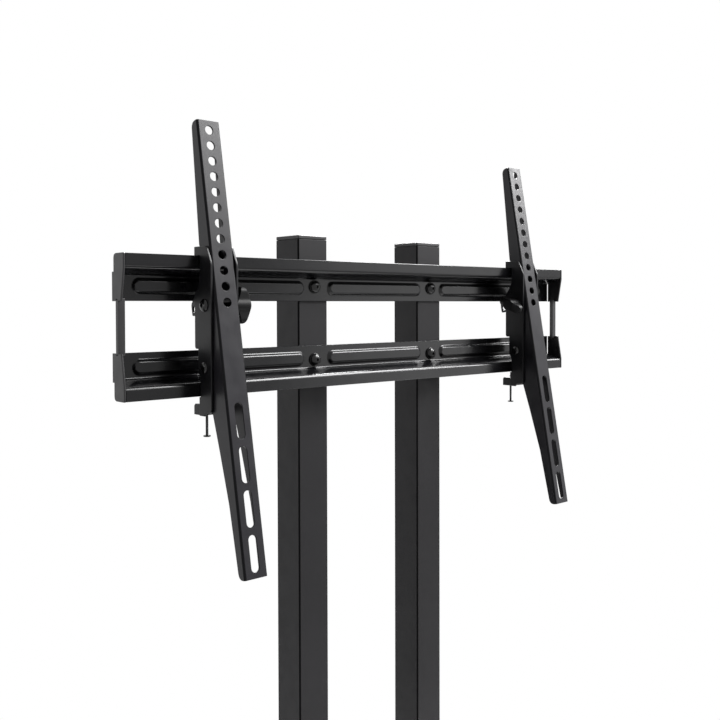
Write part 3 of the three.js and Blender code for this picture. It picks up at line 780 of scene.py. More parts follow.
def rib_rise(x, z):
    """How far the web stands forward at a place on it."""
    rise = 0
    outer_middle = OUTER_RIB_START + OUTER_RIB / 2
    for middle, length in ((0, MIDDLE_RIB), (outer_middle, OUTER_RIB), (-outer_middle, OUTER_RIB)):
        beyond = max(0, abs(x - middle) - (length - RIB_HEIGHT) / 2)
        inside = (RIB_HEIGHT / 2 - math.hypot(beyond, z + RIB_DROP)) / RIB_SLOPE
        share = min(1, max(0, inside))
        soft = share * share * (3 - 2 * share)
        rise = max(rise, RIB_RISE * (share + (soft - share) * RIB_SOFT_SHARE))
    return rise


print("a rib rises", rib_rise(0, -RIB_DROP), "m in its middle")

# %% [markdown]
# The rail is extruded from station to station along X. Evenly spaced stations would
# either be too coarse for the round ends of the ribs or give far too many faces. So they
# are close together only where a rib ends.

# %% Stations along a rail
RAIL_LENGTH = 0.6724
FINE_STEP = 0.0008
COARSE_STEP = 0.006
RIB_END_SHARE = 0.65  # of a rib's height, on both sides of its end, that has fine stations


def rail_stations():
    ends = [MIDDLE_RIB / 2, OUTER_RIB_START, OUTER_RIB_START + OUTER_RIB]
    half = RAIL_LENGTH / 2
    stations = []
    x = 0
    while x < half - FINE_STEP:
        stations.append(x)
        near = any(abs(x + FINE_STEP - end) < RIB_HEIGHT * RIB_END_SHARE for end in ends)
        x += FINE_STEP if near else COARSE_STEP
    stations += [half - SHEET_EDGE, half]
    return [-x for x in reversed(stations[1:])] + stations


print("stations along a rail:", len(rail_stations()))

# %% [markdown]
# From its end a rail shows a lip in front, a slanted ledge and a tall web. The straight
# stretch of the web is divided finely, because only where there are vertices can the ribs
# rise.

# %% Section of a rail
RAIL_HEIGHT = 0.0446
RAIL_SHEET = 0.0025
RAIL_BEND = 0.0035
LIP_HEIGHT = 0.0135
LIP_REACH = 0.023
LEDGE_RISE = 0.005


def rail_section():
    web = LIP_REACH + RAIL_SHEET / 2
    corners = folded([
        (web, -RAIL_HEIGHT),
        (web, -LIP_HEIGHT - LEDGE_RISE),
        (RAIL_SHEET / 2, -LIP_HEIGHT + RAIL_SHEET / 2),
        (RAIL_SHEET / 2, 0),
    ], RAIL_SHEET, RAIL_BEND)
    section = []
    for start, end in zip(corners, corners[1:] + corners[:1]):
        upright = abs(end.x - start.x) < WELD
        steps = max(1, round(abs(end.y - start.y) / FINE_STEP)) if upright else 1
        section += [start.lerp(end, step / steps) for step in range(steps)]
    return section


print("points round a rail:", len(rail_section()))

# %% [markdown]
# Now the section grows into a rail, and each vertex of the web is moved forward as far as
# the rib stands there. The lower rail of the real mount is the same part turned over, so
# its mesh is a mirrored copy.

# %% Upper and lower rail
RAIL_PAIR = 0.1388  # top of the upper rail to the bottom of the lower one
MIRROR_Z = Matrix.Diagonal((1, 1, -1, 1))


def rail_mesh():
    stations = rail_stations()
    form = bmesh.new()
    face = form.faces.new([form.verts.new((stations[0], y, z)) for y, z in rail_section()])
    for start, end in zip(stations, stations[1:]):
        face = grown(form, face, (end - start, 0, 0))
    for vert in form.verts:
        if vert.co.y > LIP_REACH - SHEET_EDGE:
            vert.co.y -= rib_rise(vert.co.x, vert.co.z)
    return mesh_of(form)


upper = rail_mesh()
lower = moved(upper.copy(), place(0, 0, -RAIL_PAIR) @ MIRROR_Z)
piece("upper_rail_finish", moved(upper, RAIL_FRAME), "stand", "upper_rail", RAIL_COAT)
piece("lower_rail_finish", moved(lower, RAIL_FRAME), "stand", "lower_rail", RAIL_COAT)
print("rails:", len(upper.polygons), "faces each")

# %% [markdown]
# Four flanged bolts hold the rails to the posts, each with a nut inside the tube. The head
# is the button head of before, laid on its back to face the screen side, with a thin round
# plate under it as its flange. A nut could be a cylinder with six sides, but the plate
# tool gives its hole and its soft edges as well.

# %% Rail bolts and nuts
RAIL_BOLT_HEAD = 0.007
RAIL_BOLT_DOME = 0.0042
RAIL_BOLT_SHANK = 0.003
RAIL_BOLT_SOCKET = 0.002
FLANGE_RADIUS = 0.0075
FLANGE_HEIGHT = 0.0012
FRONT = Matrix(((1, 0, 0), (0, 0, -1), (0, 1, 0))).to_4x4()  # drawn in front view, grown along -Y
QUARTER = Matrix.Rotation(math.pi / 2, 4, "Z")

for side in ("left", "right"):
    for level in ("upper", "lower"):
        node = f"rail_bolt_{level}_{side}"
        low, high, centre = ends_of(node)
        seat = low.y + RAIL_BOLT_DOME
        bolt = domed_bolt(RAIL_BOLT_HEAD, RAIL_BOLT_DOME, RAIL_BOLT_SHANK, high.y - seat, RAIL_BOLT_SOCKET)
        flange = plate([circle(FLANGE_RADIUS)], FLANGE_HEIGHT, SHEET_EDGE)
        bolt = joined(bolt, moved(flange, place(0, 0, -FLANGE_HEIGHT / 2)))
        piece(f"{node}_finish", moved(bolt, place(centre.x, seat, centre.z) @ FRONT), "stand", node,
              FASTENER)
        node = f"rail_nut_{level}_{side}"
        low, high, centre = ends_of(node)
        rings = [circle((high.z - low.z) / 2, HEXAGON), circle(RAIL_BOLT_SHANK + SEAT_GAP)]
        nut = plate(rings, high.y - low.y, SHEET_EDGE)
        piece(f"{node}_finish", moved(nut, place(*centre) @ FRONT @ QUARTER), "stand", node,
              FASTENER)
print("rail bolts:", len(bolt.polygons), "faces each, nuts:", len(nut.polygons))

# %% [markdown]
# A moulded cap closes both rails at each end. Its largest part is a thin plate over the
# end of a rail, with a round upper corner and a notch behind. It could be modelled as a
# box with loop cuts, but it is flat, so it comes from an outline in side view. The
# rounded edges of the plate leave the fine dark groove beside the lip.

# %% Plate of an end cap
END_PLATE = 0.0025
END_OVERHANG = 0.0003
END_SHOULDER = 0.017
END_SHOULDER_DEPTH = 0.0193
END_FRONT = 0.0005
END_BACK = 0.0225
END_THROAT = 0.005
END_CORNER = 0.005
END_LIP_CORNER = 0.0015
PLASTIC_EDGE = 0.0009


def end_plate():
    return plate([rounded([
        (-END_FRONT, END_OVERHANG, END_LIP_CORNER),
        (-END_FRONT, -LIP_HEIGHT),
        (END_THROAT, -RAIL_HEIGHT - END_OVERHANG),
        (END_BACK, -RAIL_HEIGHT - END_OVERHANG),
        (END_BACK, -END_SHOULDER),
        (END_SHOULDER_DEPTH, -END_SHOULDER),
        (END_SHOULDER_DEPTH, END_OVERHANG, END_CORNER),
    ])], END_PLATE, PLASTIC_EDGE)


print("an end plate is", END_BACK + END_FRONT, "m deep")

# %% [markdown]
# A tongue behind each lip holds the cap in the rail, and a bar joins the two plates. Both
# are plain blocks, so each starts as a cube that is stretched to its place and bevelled
# all round. One cap is built at the right end, its lower half as a copy of the upper one,
# and the left cap is its mirror image.

# %% End caps
TONGUE_LENGTH = 0.014
TONGUE_DEPTH = 0.005
TONGUE_HEIGHT = 0.007
TONGUE_DROP = 0.0025
END_BAR_WIDTH = 0.0075
END_BAR_DEPTH = 0.0055
END_BAR_BACK = 0.010
SIDE = Matrix(((0, 0, 1), (1, 0, 0), (0, 1, 0))).to_4x4()  # drawn in side view, grown along X
MIRROR_X = Matrix.Diagonal((-1, 1, 1, 1))


def block(low, high, edge):
    form = bmesh.new()
    bmesh.ops.create_cube(form, size=1)
    bmesh.ops.scale(form, vec=Vector(high) - Vector(low), verts=form.verts)
    bmesh.ops.translate(form, vec=(Vector(high) + Vector(low)) / 2, verts=form.verts)
    bmesh.ops.bevel(form, geom=form.edges[:], offset=edge, segments=EDGE_STEPS, affect="EDGES",
                    profile=0.5, material=-1)
    return mesh_of(form)


def end_cap():
    inner = RAIL_LENGTH / 2 + SEAT_GAP
    outer = inner + END_PLATE
    tongue_front = RAIL_SHEET + SEAT_GAP
    tongue = block((inner - TONGUE_LENGTH, tongue_front, -TONGUE_DROP - TONGUE_HEIGHT),
                   (inner + END_PLATE / 2, tongue_front + TONGUE_DEPTH, -TONGUE_DROP), PLASTIC_EDGE)
    boot = joined(moved(end_plate(), place(inner + END_PLATE / 2, 0, 0) @ SIDE), tongue)
    other = moved(boot.copy(), place(0, 0, -RAIL_PAIR) @ MIRROR_Z)
    bar = block((outer - END_BAR_WIDTH, END_BAR_BACK, -RAIL_PAIR + RAIL_HEIGHT - END_PLATE),
                (outer, END_BAR_BACK + END_BAR_DEPTH, -RAIL_HEIGHT + END_PLATE), PLASTIC_EDGE)
    return joined(boot, other, bar)


right_end = end_cap()
left_end = moved(right_end.copy(), MIRROR_X)
for side, cap in (("right", right_end), ("left", left_end)):
    piece(f"{side}_end_finish", moved(cap, RAIL_FRAME), "stand", f"{side}_end_cap", CAP_PLASTIC)
print("end caps:", len(right_end.polygons), "faces each")

# %% [markdown]
# A slot is as wide as a hole and has round ends. It could be the joint cut of two holes
# and a box, which would leave fine steps where they meet. One outline of two half circles
# is smooth all round.

# %% Outline of a slot
HOLE_RADIUS = 0.0045
SLOT_LENGTH = 0.035


def stadium(length, width):
    """A round-ended outline that lies along its first direction."""
    radius = width / 2
    reach = length / 2 - radius
    points = []
    for sign in (1, -1):
        for step in range(ARC_STEPS + 1):
            turn = math.pi * step / ARC_STEPS - math.pi / 2
            points.append(Vector((sign * (reach + radius * math.cos(turn)), sign * radius * math.sin(turn))))
    return points


print("points round a slot:", len(stadium(SLOT_LENGTH, 2 * HOLE_RADIUS)))

# %% [markdown]
# An arm takes the screws of many screens: a row of round holes above, and long slots
# below. It is made upright, with its pivot at the origin. The holes could be modelled
# into the face loop by loop, but a row of prisms that cuts them all at once keeps their
# pitch exact and their number free.

# %% Cutters for the face of an arm
ARM_SHEET = 0.002
PIVOT_TO_FACE = 0.0282
PIVOT_TO_TOP_HOLE = 0.2342
HOLE_COUNT = 12
HOLE_PITCH = 0.01585
HOLES_TO_SLOTS = 0.1155
SLOT_COUNT = 4
SLOT_PITCH = 0.042
CUT_STEPS = 32


def face_cutters():
    reach = 2 * ARM_SHEET
    first_slot = PIVOT_TO_TOP_HOLE - (HOLE_COUNT - 1) * HOLE_PITCH - HOLES_TO_SLOTS
    cutters = []
    for index in range(HOLE_COUNT):
        where = place(0, -PIVOT_TO_FACE, PIVOT_TO_TOP_HOLE - index * HOLE_PITCH) @ FRONT
        cutters.append(moved(prism(circle(HOLE_RADIUS, CUT_STEPS), -reach, reach), where))
    for index in range(SLOT_COUNT):
        where = place(0, -PIVOT_TO_FACE, first_slot - index * SLOT_PITCH) @ FRONT @ QUARTER
        cutters.append(moved(prism(stadium(SLOT_LENGTH, 2 * HOLE_RADIUS), -reach, reach), where))
    return cutters


print("an arm has", HOLE_COUNT, "holes and", SLOT_COUNT, "slots")

# %% [markdown]
# When the arm tilts, the clamp bolt stays in the bracket and runs along a slot that is
# curved round the pivot. The slot could be cut by a bent cylinder, but its outline is
# simple: two arcs round the pivot, closed by two half circles. It is made from the places
# that the bolt really reaches in the arm, from one tilt stop to the other.

# %% Curved slot of the clamp
ARM_TILT = math.radians(10.2)
PIVOT_FORWARD = 0.008
PIVOT_DROP = 0.110
CLAMP_FORWARD = 0.009
CLAMP_DROP = 0.049
CLAMP_RADIUS = 0.003
CLAMP_SWEEP = 22  # degrees between the tilt stops
SLOT_END_STEPS = 8


def clamp_in_arm(sweep):
    """Where the clamp bolt is in the arm, when the arm is tilted by sweep degrees from rest."""
    turn = Matrix.Rotation(ARM_TILT - math.radians(sweep), 2)
    return turn @ Vector((PIVOT_FORWARD - CLAMP_FORWARD, PIVOT_DROP - CLAMP_DROP))


def curved_slot():
    radius = clamp_in_arm(0).length
    half = CLAMP_RADIUS + SEAT_GAP
    path = [clamp_in_arm(CLAMP_SWEEP * step / ARC_STEPS) for step in range(ARC_STEPS + 1)]
    outer = [point * (radius + half) / radius for point in path]
    inner = [point * (radius - half) / radius for point in path]

    def round_end(point, start):
        turns = [-math.pi * step / SLOT_END_STEPS for step in range(1, SLOT_END_STEPS)]
        return [point + Matrix.Rotation(turn, 2) @ start * half for turn in turns]

    far_end = round_end(path[-1], path[-1].normalized())
    near_end = round_end(path[0], -path[0].normalized())
    return outer + far_end + inner[::-1] + near_end


print("the clamp bolt runs", round((clamp_in_arm(CLAMP_SWEEP) - clamp_in_arm(0)).length, 4), "m")

# %% [markdown]
# Seen from the side, the flanges of an arm are deep at the pivot and taper to both ends,
# with an ear behind that holds the curved slot. The taper could be pulled from a channel
# by moving vertices, but an outline that is cut in one go stays flat and can be checked.
# The depths are noted from the front face backwards.

# %% Side outline of an arm
TOP_MARGIN = 0.010
END_MARGIN = 0.023
TOP_DEPTH = 0.0105
END_DEPTH = 0.010
ARM_END_RADIUS = 0.007
ARM_SOFT = 0.0016
EAR_WALL = 0.002
EAR_HALF = 0.006
WAIST_DEPTH = 0.0335
# Flange depths and their places above the pivot, from the ear up and from the lower end up
ABOVE_EAR = [(0.0188, 0.091), (0.0154, 0.110), (0.0194, 0.121)]
BELOW_EAR = [(0.0138, -0.134), (0.0208, -0.081), (0.0285, -0.030), (0.037, -0.005), (0.037, 0.005),
             (WAIST_DEPTH, 0.010)]


def arm_outline():
    front = -PIVOT_TO_FACE
    top = PIVOT_TO_TOP_HOLE + TOP_MARGIN
    span = (HOLE_COUNT - 1) * HOLE_PITCH + HOLES_TO_SLOTS + (SLOT_COUNT - 1) * SLOT_PITCH
    bottom = PIVOT_TO_TOP_HOLE - span - END_MARGIN
    ear = clamp_in_arm(CLAMP_SWEEP).x + CLAMP_RADIUS + SEAT_GAP + EAR_WALL
    ear_middle = clamp_in_arm(0).y
    corners = [(front, top), (front, bottom), (front + END_DEPTH, bottom, ARM_END_RADIUS)]
    corners += [(front + depth, along, ARM_SOFT) for depth, along in BELOW_EAR]
    corners += [
        (front + WAIST_DEPTH, ear_middle - EAR_HALF - SEAT_GAP),
        (ear, ear_middle - EAR_HALF, EAR_WALL),
        (ear, ear_middle + EAR_HALF, EAR_WALL),
    ]
    corners += [(front + depth, along, ARM_SOFT) for depth, along in ABOVE_EAR]
    return rounded(corners + [(front + TOP_DEPTH, top, ARM_END_RADIUS)])


print("points round the side of an arm:", len(arm_outline()))

# %% [markdown]
# The real arm is cut flat and then folded to a channel. Here the order is the other way
# round, because unfolding the outline would take more steps: a straight channel is grown
# first and then shared with a prism of the side outline, which leaves the taper. Holes,
# slots, the pivot hole and the curved slot are cut together, so that their rims are eased
# only once.

# %% Fold and cut an arm
ARM_WIDTH = 0.0265
ARM_BEND = 0.0014
PIVOT_RADIUS = 0.003


def arm_mesh():
    reach = ARM_WIDTH / 2 - ARM_SHEET / 2
    face = -PIVOT_TO_FACE + ARM_SHEET / 2
    deep = 2 * PIVOT_TO_FACE
    tall = 2 * PIVOT_TO_TOP_HOLE
    section = folded([(-reach, deep), (-reach, face), (reach, face), (reach, deep)], ARM_SHEET, ARM_BEND)
    blank = moved(prism(arm_outline(), -ARM_WIDTH, ARM_WIDTH), SIDE)
    arm = cut(prism(section, -tall, tall), blank, "INTERSECT")
    side_cutters = [moved(prism(points, -ARM_WIDTH, ARM_WIDTH), SIDE)
                    for points in (circle(PIVOT_RADIUS + SEAT_GAP), curved_slot())]
    return eased(cut(arm, joined(*face_cutters(), *side_cutters)), SHEET_EDGE)


arm = arm_mesh()
print("arms:", len(arm.polygons), "faces each")

# %% [markdown]
# The finished arm is tilted about its pivot as in the photograph and handed to the body
# that tilts. Both arms are the same part, so the right one is a moved copy and not a
# mirrored one. Their long folds get painted shade, a darker and duller material, as on the posts.

# %% Arms in their places
ARM_PLACE_SHARE = 0.3589  # of the length of the rails
ARM_PLACE = ARM_PLACE_SHARE * RAIL_LENGTH
TILTED = place(0, -PIVOT_FORWARD, -PIVOT_DROP) @ Matrix.Rotation(-ARM_TILT, 4, "X")

for side, sign in (("left", -1), ("right", 1)):
    where = RAIL_FRAME @ place(sign * ARM_PLACE, 0, 0) @ TILTED
    made = piece(f"{side}_arm_finish", moved(arm.copy(), where), f"{side}_arm_body", f"{side}_arm",
                 ARM_COAT)
    # Painted shade on the long folds of the arm.
    paint_shade_on_folds(made.data, ARM_FOLD_PAINTED_SHADE)
print("arms stand", round(2 * ARM_PLACE, 4), "m apart")

# %% [markdown]
# A hook bracket hangs each arm on the upper lip and reaches down over the lower one. Its
# two side plates are flat but have many corners: a hook, a nose in front, a shoulder
# behind and a heel below. Boxes put together would show seams, so the whole plate is one
# outline, which keeps a small gap to the rails that it hooks over.

# %% Outline of a hook bracket
HOOK_RISE = 0.009
HOOK_REACH = 0.0095
HOOK_FINGER = 0.009
HOOK_NOSE = 0.012
PLATE_NOSE = 0.0205
NOSE_DROP = 0.008
PLATE_BOTTOM = 0.1545
HEEL_BOTTOM = 0.158
HEEL_FRONT = 0.007
PLATE_CORNER = 0.006
PLATE_ROUND = 0.003
PLATE_SHARP = 0.0008
SHOULDER_TOP = 0.034
SHOULDER_END = 0.092
PLATE_BACK = 0.009
UPPER_BACK = 0.001
MIDDLE_BACK = 0.003
LOW_BACK = 0.0015


def bracket_outline():
    low_edge = -RAIL_PAIR
    clear = 2 * SEAT_GAP
    return rounded([
        (HOOK_REACH, HOOK_RISE, PLATE_SHARP),
        (-HOOK_NOSE, HOOK_RISE, PLATE_ROUND),
        (-PLATE_NOSE, -NOSE_DROP, PLATE_ROUND),
        (-PLATE_NOSE, -PLATE_BOTTOM, PLATE_CORNER),
        (-HEEL_FRONT - PLATE_ROUND, -PLATE_BOTTOM),
        (-HEEL_FRONT, -HEEL_BOTTOM),
        (LOW_BACK, -HEEL_BOTTOM, PLATE_SHARP),
        (LOW_BACK, low_edge - clear),
        (-clear, low_edge - clear),
        (-clear, low_edge + LIP_HEIGHT + LEDGE_RISE),
        (MIDDLE_BACK, low_edge + LIP_HEIGHT + 2 * LEDGE_RISE),
        (MIDDLE_BACK, -SHOULDER_END),
        (PLATE_BACK, -SHOULDER_END, PLATE_ROUND),
        (PLATE_BACK, -SHOULDER_TOP, PLATE_ROUND),
        (UPPER_BACK, -SHOULDER_TOP),
        (UPPER_BACK, -LIP_HEIGHT - 2 * LEDGE_RISE),
        (-clear, -LIP_HEIGHT - LEDGE_RISE),
        (-clear, SEAT_GAP),
        (RAIL_SHEET + SEAT_GAP, SEAT_GAP),
        (RAIL_SHEET + SEAT_GAP, -HOOK_FINGER, SEAT_GAP),
        (HOOK_REACH, -HOOK_FINGER, PLATE_ROUND),
    ])


print("points round a bracket plate:", len(bracket_outline()))

# %% [markdown]
# Two cross plates hold the side plates apart, one behind the hook and one at the
# shoulder. The plates come from the outline with its two bolt holes, the cross plates are
# blocks between them. Since both brackets are the same, the mesh is built once and
# copied.

# %% Hook brackets
BRACKET_SHEET = 0.0025
BRACKET_PLAY = 0.0003
CROSS_DROP = 0.064
CROSS_HEIGHT = 0.026


def bracket_mesh():
    outlines = [
        bracket_outline(),
        circle(PIVOT_RADIUS + SEAT_GAP, CUT_STEPS, -PIVOT_FORWARD, -PIVOT_DROP),
        circle(CLAMP_RADIUS + SEAT_GAP, CUT_STEPS, -CLAMP_FORWARD, -CLAMP_DROP),
    ]
    middle = ARM_WIDTH / 2 + BRACKET_PLAY + BRACKET_SHEET / 2
    sides = [moved(plate(outlines, BRACKET_SHEET), place(x, 0, 0) @ SIDE) for x in (-middle, middle)]
    hook_back = block((-middle, HOOK_REACH - BRACKET_SHEET, -HOOK_FINGER + PLATE_ROUND),
                      (middle, HOOK_REACH, HOOK_RISE - PLATE_ROUND), PLATE_EDGE)
    cross = block((-middle, PLATE_BACK - BRACKET_SHEET, -CROSS_DROP - CROSS_HEIGHT),
                  (middle, PLATE_BACK, -CROSS_DROP), PLATE_EDGE)
    return joined(*sides, hook_back, cross)


bracket = bracket_mesh()
for side, sign in (("left", -1), ("right", 1)):
    where = RAIL_FRAME @ place(sign * ARM_PLACE, 0, 0)
    piece(f"{side}_bracket_finish", moved(bracket.copy(), where), f"{side}_bracket", f"{side}_hook_bracket",
          BRACKET_COAT)
print("brackets:", len(bracket.polygons), "faces each")

# %% [markdown]
# The arm turns on a rivet with a head on both sides, and a clamp bolt runs through the
# curved slot to the knob, with a washer under it. The rivet is one half that is turned
# and then copied, turned over, because a full profile would repeat the same points. All
# are made along Z and laid along X, with the head of the clamp bolt facing outwards.

# %% Rivets, clamp bolts and washers
RIVET_HEAD = 0.0055
RIVET_DOME = 0.0025
CLAMP_HEAD = 0.0065
CLAMP_DOME = 0.0035
CLAMP_SOCKET = 0.0025
AROUND_X = Matrix.Rotation(math.pi, 4, "X")
AROUND_Z = Matrix.Rotation(math.pi, 4, "Z")
OUTWARD = {"left": AROUND_Z, "right": Matrix.Identity(4)}

for side in ("left", "right"):
    bracket_body = f"{side}_bracket"
    node = f"{side}_pivot_rivet"
    low, high, centre = ends_of(node)
    seat = (high.x - low.x) / 2 - RIVET_DOME
    half = moved(turned(dome_profile(RIVET_HEAD, RIVET_DOME, PIVOT_RADIUS, seat)), place(0, 0, seat))
    rivet = joined(half, moved(half.copy(), AROUND_X))
    piece(f"{node}_finish", moved(rivet, place(*centre) @ SIDE), bracket_body, node,
          FASTENER)

    node = f"{side}_tilt_bolt"
    low, high, centre = ends_of(node)
    seat = low.x + CLAMP_DOME if side == "left" else high.x - CLAMP_DOME
    bolt = domed_bolt(CLAMP_HEAD, CLAMP_DOME, CLAMP_RADIUS, high.x - low.x - CLAMP_DOME, CLAMP_SOCKET)
    where = place(seat, centre.y, centre.z) @ OUTWARD[side] @ SIDE
    piece(f"{node}_finish", moved(bolt, where), bracket_body, node, FASTENER)

    node = f"{side}_knob_washer"
    low, high, centre = ends_of(node)
    rings = [circle((high.z - low.z) / 2), circle(CLAMP_RADIUS + SEAT_GAP)]
    washer = plate(rings, high.x - low.x, SHEET_EDGE / 2)
    piece(f"{node}_finish", moved(washer, place(*centre) @ SIDE), bracket_body, node,
          FASTENER)
print("a washer is", round(high.z - low.z, 4), "m across")

# %% [markdown]
# The knob is a grip with two wings round a hub. Seen along its axis it is a round-ended
# bar with a bulge in the middle. Bar and hub could be joined by a Boolean, but the joint
# would be a hard crease. So the outline takes, in each direction, the larger of the two
# reaches, by a power sum that rounds the place where they meet.

# %% Outline of a knob
KNOB_RADIUS = 0.0186
KNOB_GRIP = 0.011  # width of the bar
KNOB_HUB = 0.0075
KNOB_STEPS = 180
HUB_BLEND = 12  # the higher, the sharper the corner between hub and bar


def knob_outline():
    half = KNOB_GRIP / 2
    reach = KNOB_RADIUS - half
    points = []
    for step in range(KNOB_STEPS):
        turn = 2 * math.pi * step / KNOB_STEPS
        way = Vector((math.cos(turn), math.sin(turn)))
        if abs(way.y) * reach > half * abs(way.x):
            bar = half / abs(way.y)
        else:
            bar = reach * abs(way.x) + math.sqrt(half ** 2 - (reach * way.y) ** 2)
        points.append(way * (bar ** HUB_BLEND + KNOB_HUB ** HUB_BLEND) ** (1 / HUB_BLEND))
    return points


print("points round a knob:", len(knob_outline()))

# %% [markdown]
# Seen from the side, the foot of the knob is only the hub, the wings start above it, and
# they slope down from the top to their tips. A bevel can't give such slopes. The outline
# is grown in thin layers instead, and every vertex that stands out too far for its height
# is drawn in towards the axis. Both ends are rounded in the same way.

# %% Grow a knob
KNOB_HUB_HEIGHT = 0.0035
KNOB_TIP_LOW = 0.007
KNOB_TIP_HIGH = 0.012
KNOB_TOP = 0.007
KNOB_THICKNESS = 0.0175
KNOB_ROUND = 0.0012
KNOB_LAYERS = 60


def knob_reach(height):
    """How far the knob may stand out from its axis at a height above its foot."""
    if height < KNOB_TIP_LOW:
        share = max(0, (height - KNOB_HUB_HEIGHT) / (KNOB_TIP_LOW - KNOB_HUB_HEIGHT))
        return KNOB_HUB + (KNOB_RADIUS - KNOB_HUB) * share
    share = max(0, (height - KNOB_TIP_HIGH) / (KNOB_THICKNESS - KNOB_TIP_HIGH))
    return KNOB_RADIUS + (KNOB_TOP - KNOB_RADIUS) * share


def knob_mesh():
    form = bmesh.new()
    face = form.faces.new([form.verts.new((*point, 0)) for point in knob_outline()])
    for layer in range(KNOB_LAYERS):
        face = grown(form, face, (0, 0, KNOB_THICKNESS / KNOB_LAYERS))
    for vert in form.verts:
        height = vert.co.z
        around = [knob_reach(height + step * KNOB_ROUND) for step in (-1, 0, 1)]
        near_end = max(0, 1 - min(height, KNOB_THICKNESS - height) / KNOB_ROUND)
        inset = KNOB_ROUND * (1 - math.sqrt(1 - min(1, near_end) ** 2))
        radius = math.hypot(vert.co.x, vert.co.y)
        drawn = (min(radius, sum(around) / len(around)) - inset) / radius
        vert.co.x *= drawn
        vert.co.y *= drawn
    return mesh_of(form)


print("a knob reaches", round(knob_reach(KNOB_TIP_LOW), 4), "m from its axis")

# %% [markdown]
# A knob stops wherever it is tight, so the two don't stand alike: the left one is upright
# and the right one is slanted. Each gets its turn before it is laid on its side, with its
# foot against the bracket.

# %% Clamp knobs
RIGHT_KNOB_TURN = math.radians(63)  # from upright, as the left one stands

for side, turn in (("left", 0), ("right", RIGHT_KNOB_TURN)):
    node = f"{side}_tilt_knob"
    low, high, centre = ends_of(node)
    foot = low.x if side == "left" else high.x
    where = place(foot, centre.y, centre.z) @ AROUND_Z @ OUTWARD[side] @ SIDE
    knob = moved(knob_mesh(), where @ QUARTER @ Matrix.Rotation(turn, 4, "Z"))
    piece(f"{node}_finish", knob, f"{side}_knob_body", node, KNOB_PLASTIC)
print("knobs:", len(knob.polygons), "faces each")

# %% [markdown]
# Under the lower rail a lock bar sits between the plates of each bracket, and a slim screw
# rises through it. The bar is a prism with one corner cut off. The screw is turned from a
# profile with many steps, and its thread is pressed in afterwards: a real helix would need
# a sweep that runs out at both ends, while here each vertex of the shank only moves in by
# a wave that climbs one pitch in each turn.

# %% Forms of a lock bar and a lock screw
BAR_CHAMFER = 0.002
SCREW_HEAD = 0.0038
SCREW_HEAD_HEIGHT = 0.0015
HEAD_SOFT = 0.0004
SCREW_RADIUS = 0.0015
SCREW_STEPS = 20
THREAD_PITCH = 0.0008
THREAD_DEPTH = 0.00025
STEPS_PER_PITCH = 6


def lock_bar(low, high):
    """A bar whose upper rear edge is cut off at an angle."""
    outline = [(low.y, low.z), (high.y, low.z), (high.y, high.z - BAR_CHAMFER),
               (high.y - BAR_CHAMFER, high.z), (low.y, high.z)]
    return eased(moved(prism(outline, low.x, high.x), SIDE), PLATE_EDGE)


def lock_screw(length):
    profile = [(0, 0), (SCREW_HEAD - HEAD_SOFT, 0), (SCREW_HEAD, HEAD_SOFT),
               (SCREW_HEAD, SCREW_HEAD_HEIGHT - HEAD_SOFT), (SCREW_HEAD - HEAD_SOFT, SCREW_HEAD_HEIGHT)]
    rise = THREAD_PITCH / STEPS_PER_PITCH
    turns = int((length - SCREW_HEAD_HEIGHT) / rise)
    profile += [(SCREW_RADIUS, SCREW_HEAD_HEIGHT + step * rise) for step in range(turns)]
    screw = turned(profile + [(SCREW_RADIUS, length), (0, length)], SCREW_STEPS)
    for vert in screw.vertices:
        if vert.co.z > SCREW_HEAD_HEIGHT + rise / 2 and math.hypot(vert.co.x, vert.co.y) > THREAD_DEPTH:
            phase = 2 * math.pi * vert.co.z / THREAD_PITCH - math.atan2(vert.co.y, vert.co.x)
            drawn = 1 - THREAD_DEPTH * (1 - math.cos(phase)) / 2 / SCREW_RADIUS
            vert.co.x *= drawn
            vert.co.y *= drawn
    return screw


print("a thread has a pitch of", THREAD_PITCH, "m")

# %% [markdown]
# The bar belongs to the bracket, but the screw moves up and down in it, so it rides on a
# body of its own. Its length is read from its node.

# %% Lock bars and lock screws
for side in ("left", "right"):
    node = f"{side}_lock_bar"
    low, high, centre = ends_of(node)
    piece(f"{node}_finish", lock_bar(low, high), f"{side}_bracket", node, BRACKET_COAT)
    node = f"{side}_lock_screw"
    low, high, centre = ends_of(node)
    where = place(centre.x, centre.y, low.z)
    piece(f"{node}_finish", moved(lock_screw(high.z - low.z), where), f"{side}_screw_body", node,
          FASTENER)
print("lock screws are", round(high.z - low.z, 4), "m long")

# %% [markdown]
# The floor is a pale disc that keeps the shadow of the stand. A large plane would show a
# grey horizon behind the posts. The disc fades out towards its rim instead, by a mix with
# a transparent shader that is steered by the distance from the middle.

# %% Floor
FLOOR_RADIUS = 1.5
FLOOR_STEPS = 96
FADE_START = 0.75
FADE_END = 1.35
FLOOR_COLOUR = (0.82, 0.82, 0.82)
FLOOR_ROUGHNESS = 0.8


def floor_finish():
    material, tree, surface = shader("floor_finish")
    surface.inputs["Base Color"].default_value = (*FLOOR_COLOUR, 1)
    surface.inputs["Roughness"].default_value = FLOOR_ROUGHNESS
    where = tree.nodes.new("ShaderNodeTexCoord")
    distance = tree.nodes.new("ShaderNodeVectorMath")
    distance.operation = "LENGTH"
    tree.links.new(where.outputs["Object"], distance.inputs[0])
    fade = spread(tree, distance.outputs["Value"], 0, 1, FADE_START, FADE_END)
    clear = tree.nodes.new("ShaderNodeBsdfTransparent")
    mix = tree.nodes.new("ShaderNodeMixShader")
    tree.links.new(fade, mix.inputs["Fac"])
    tree.links.new(surface.outputs["BSDF"], mix.inputs[1])
    tree.links.new(clear.outputs["BSDF"], mix.inputs[2])
    tree.links.new(mix.outputs["Shader"], tree.nodes["Material Output"].inputs["Surface"])
    return material


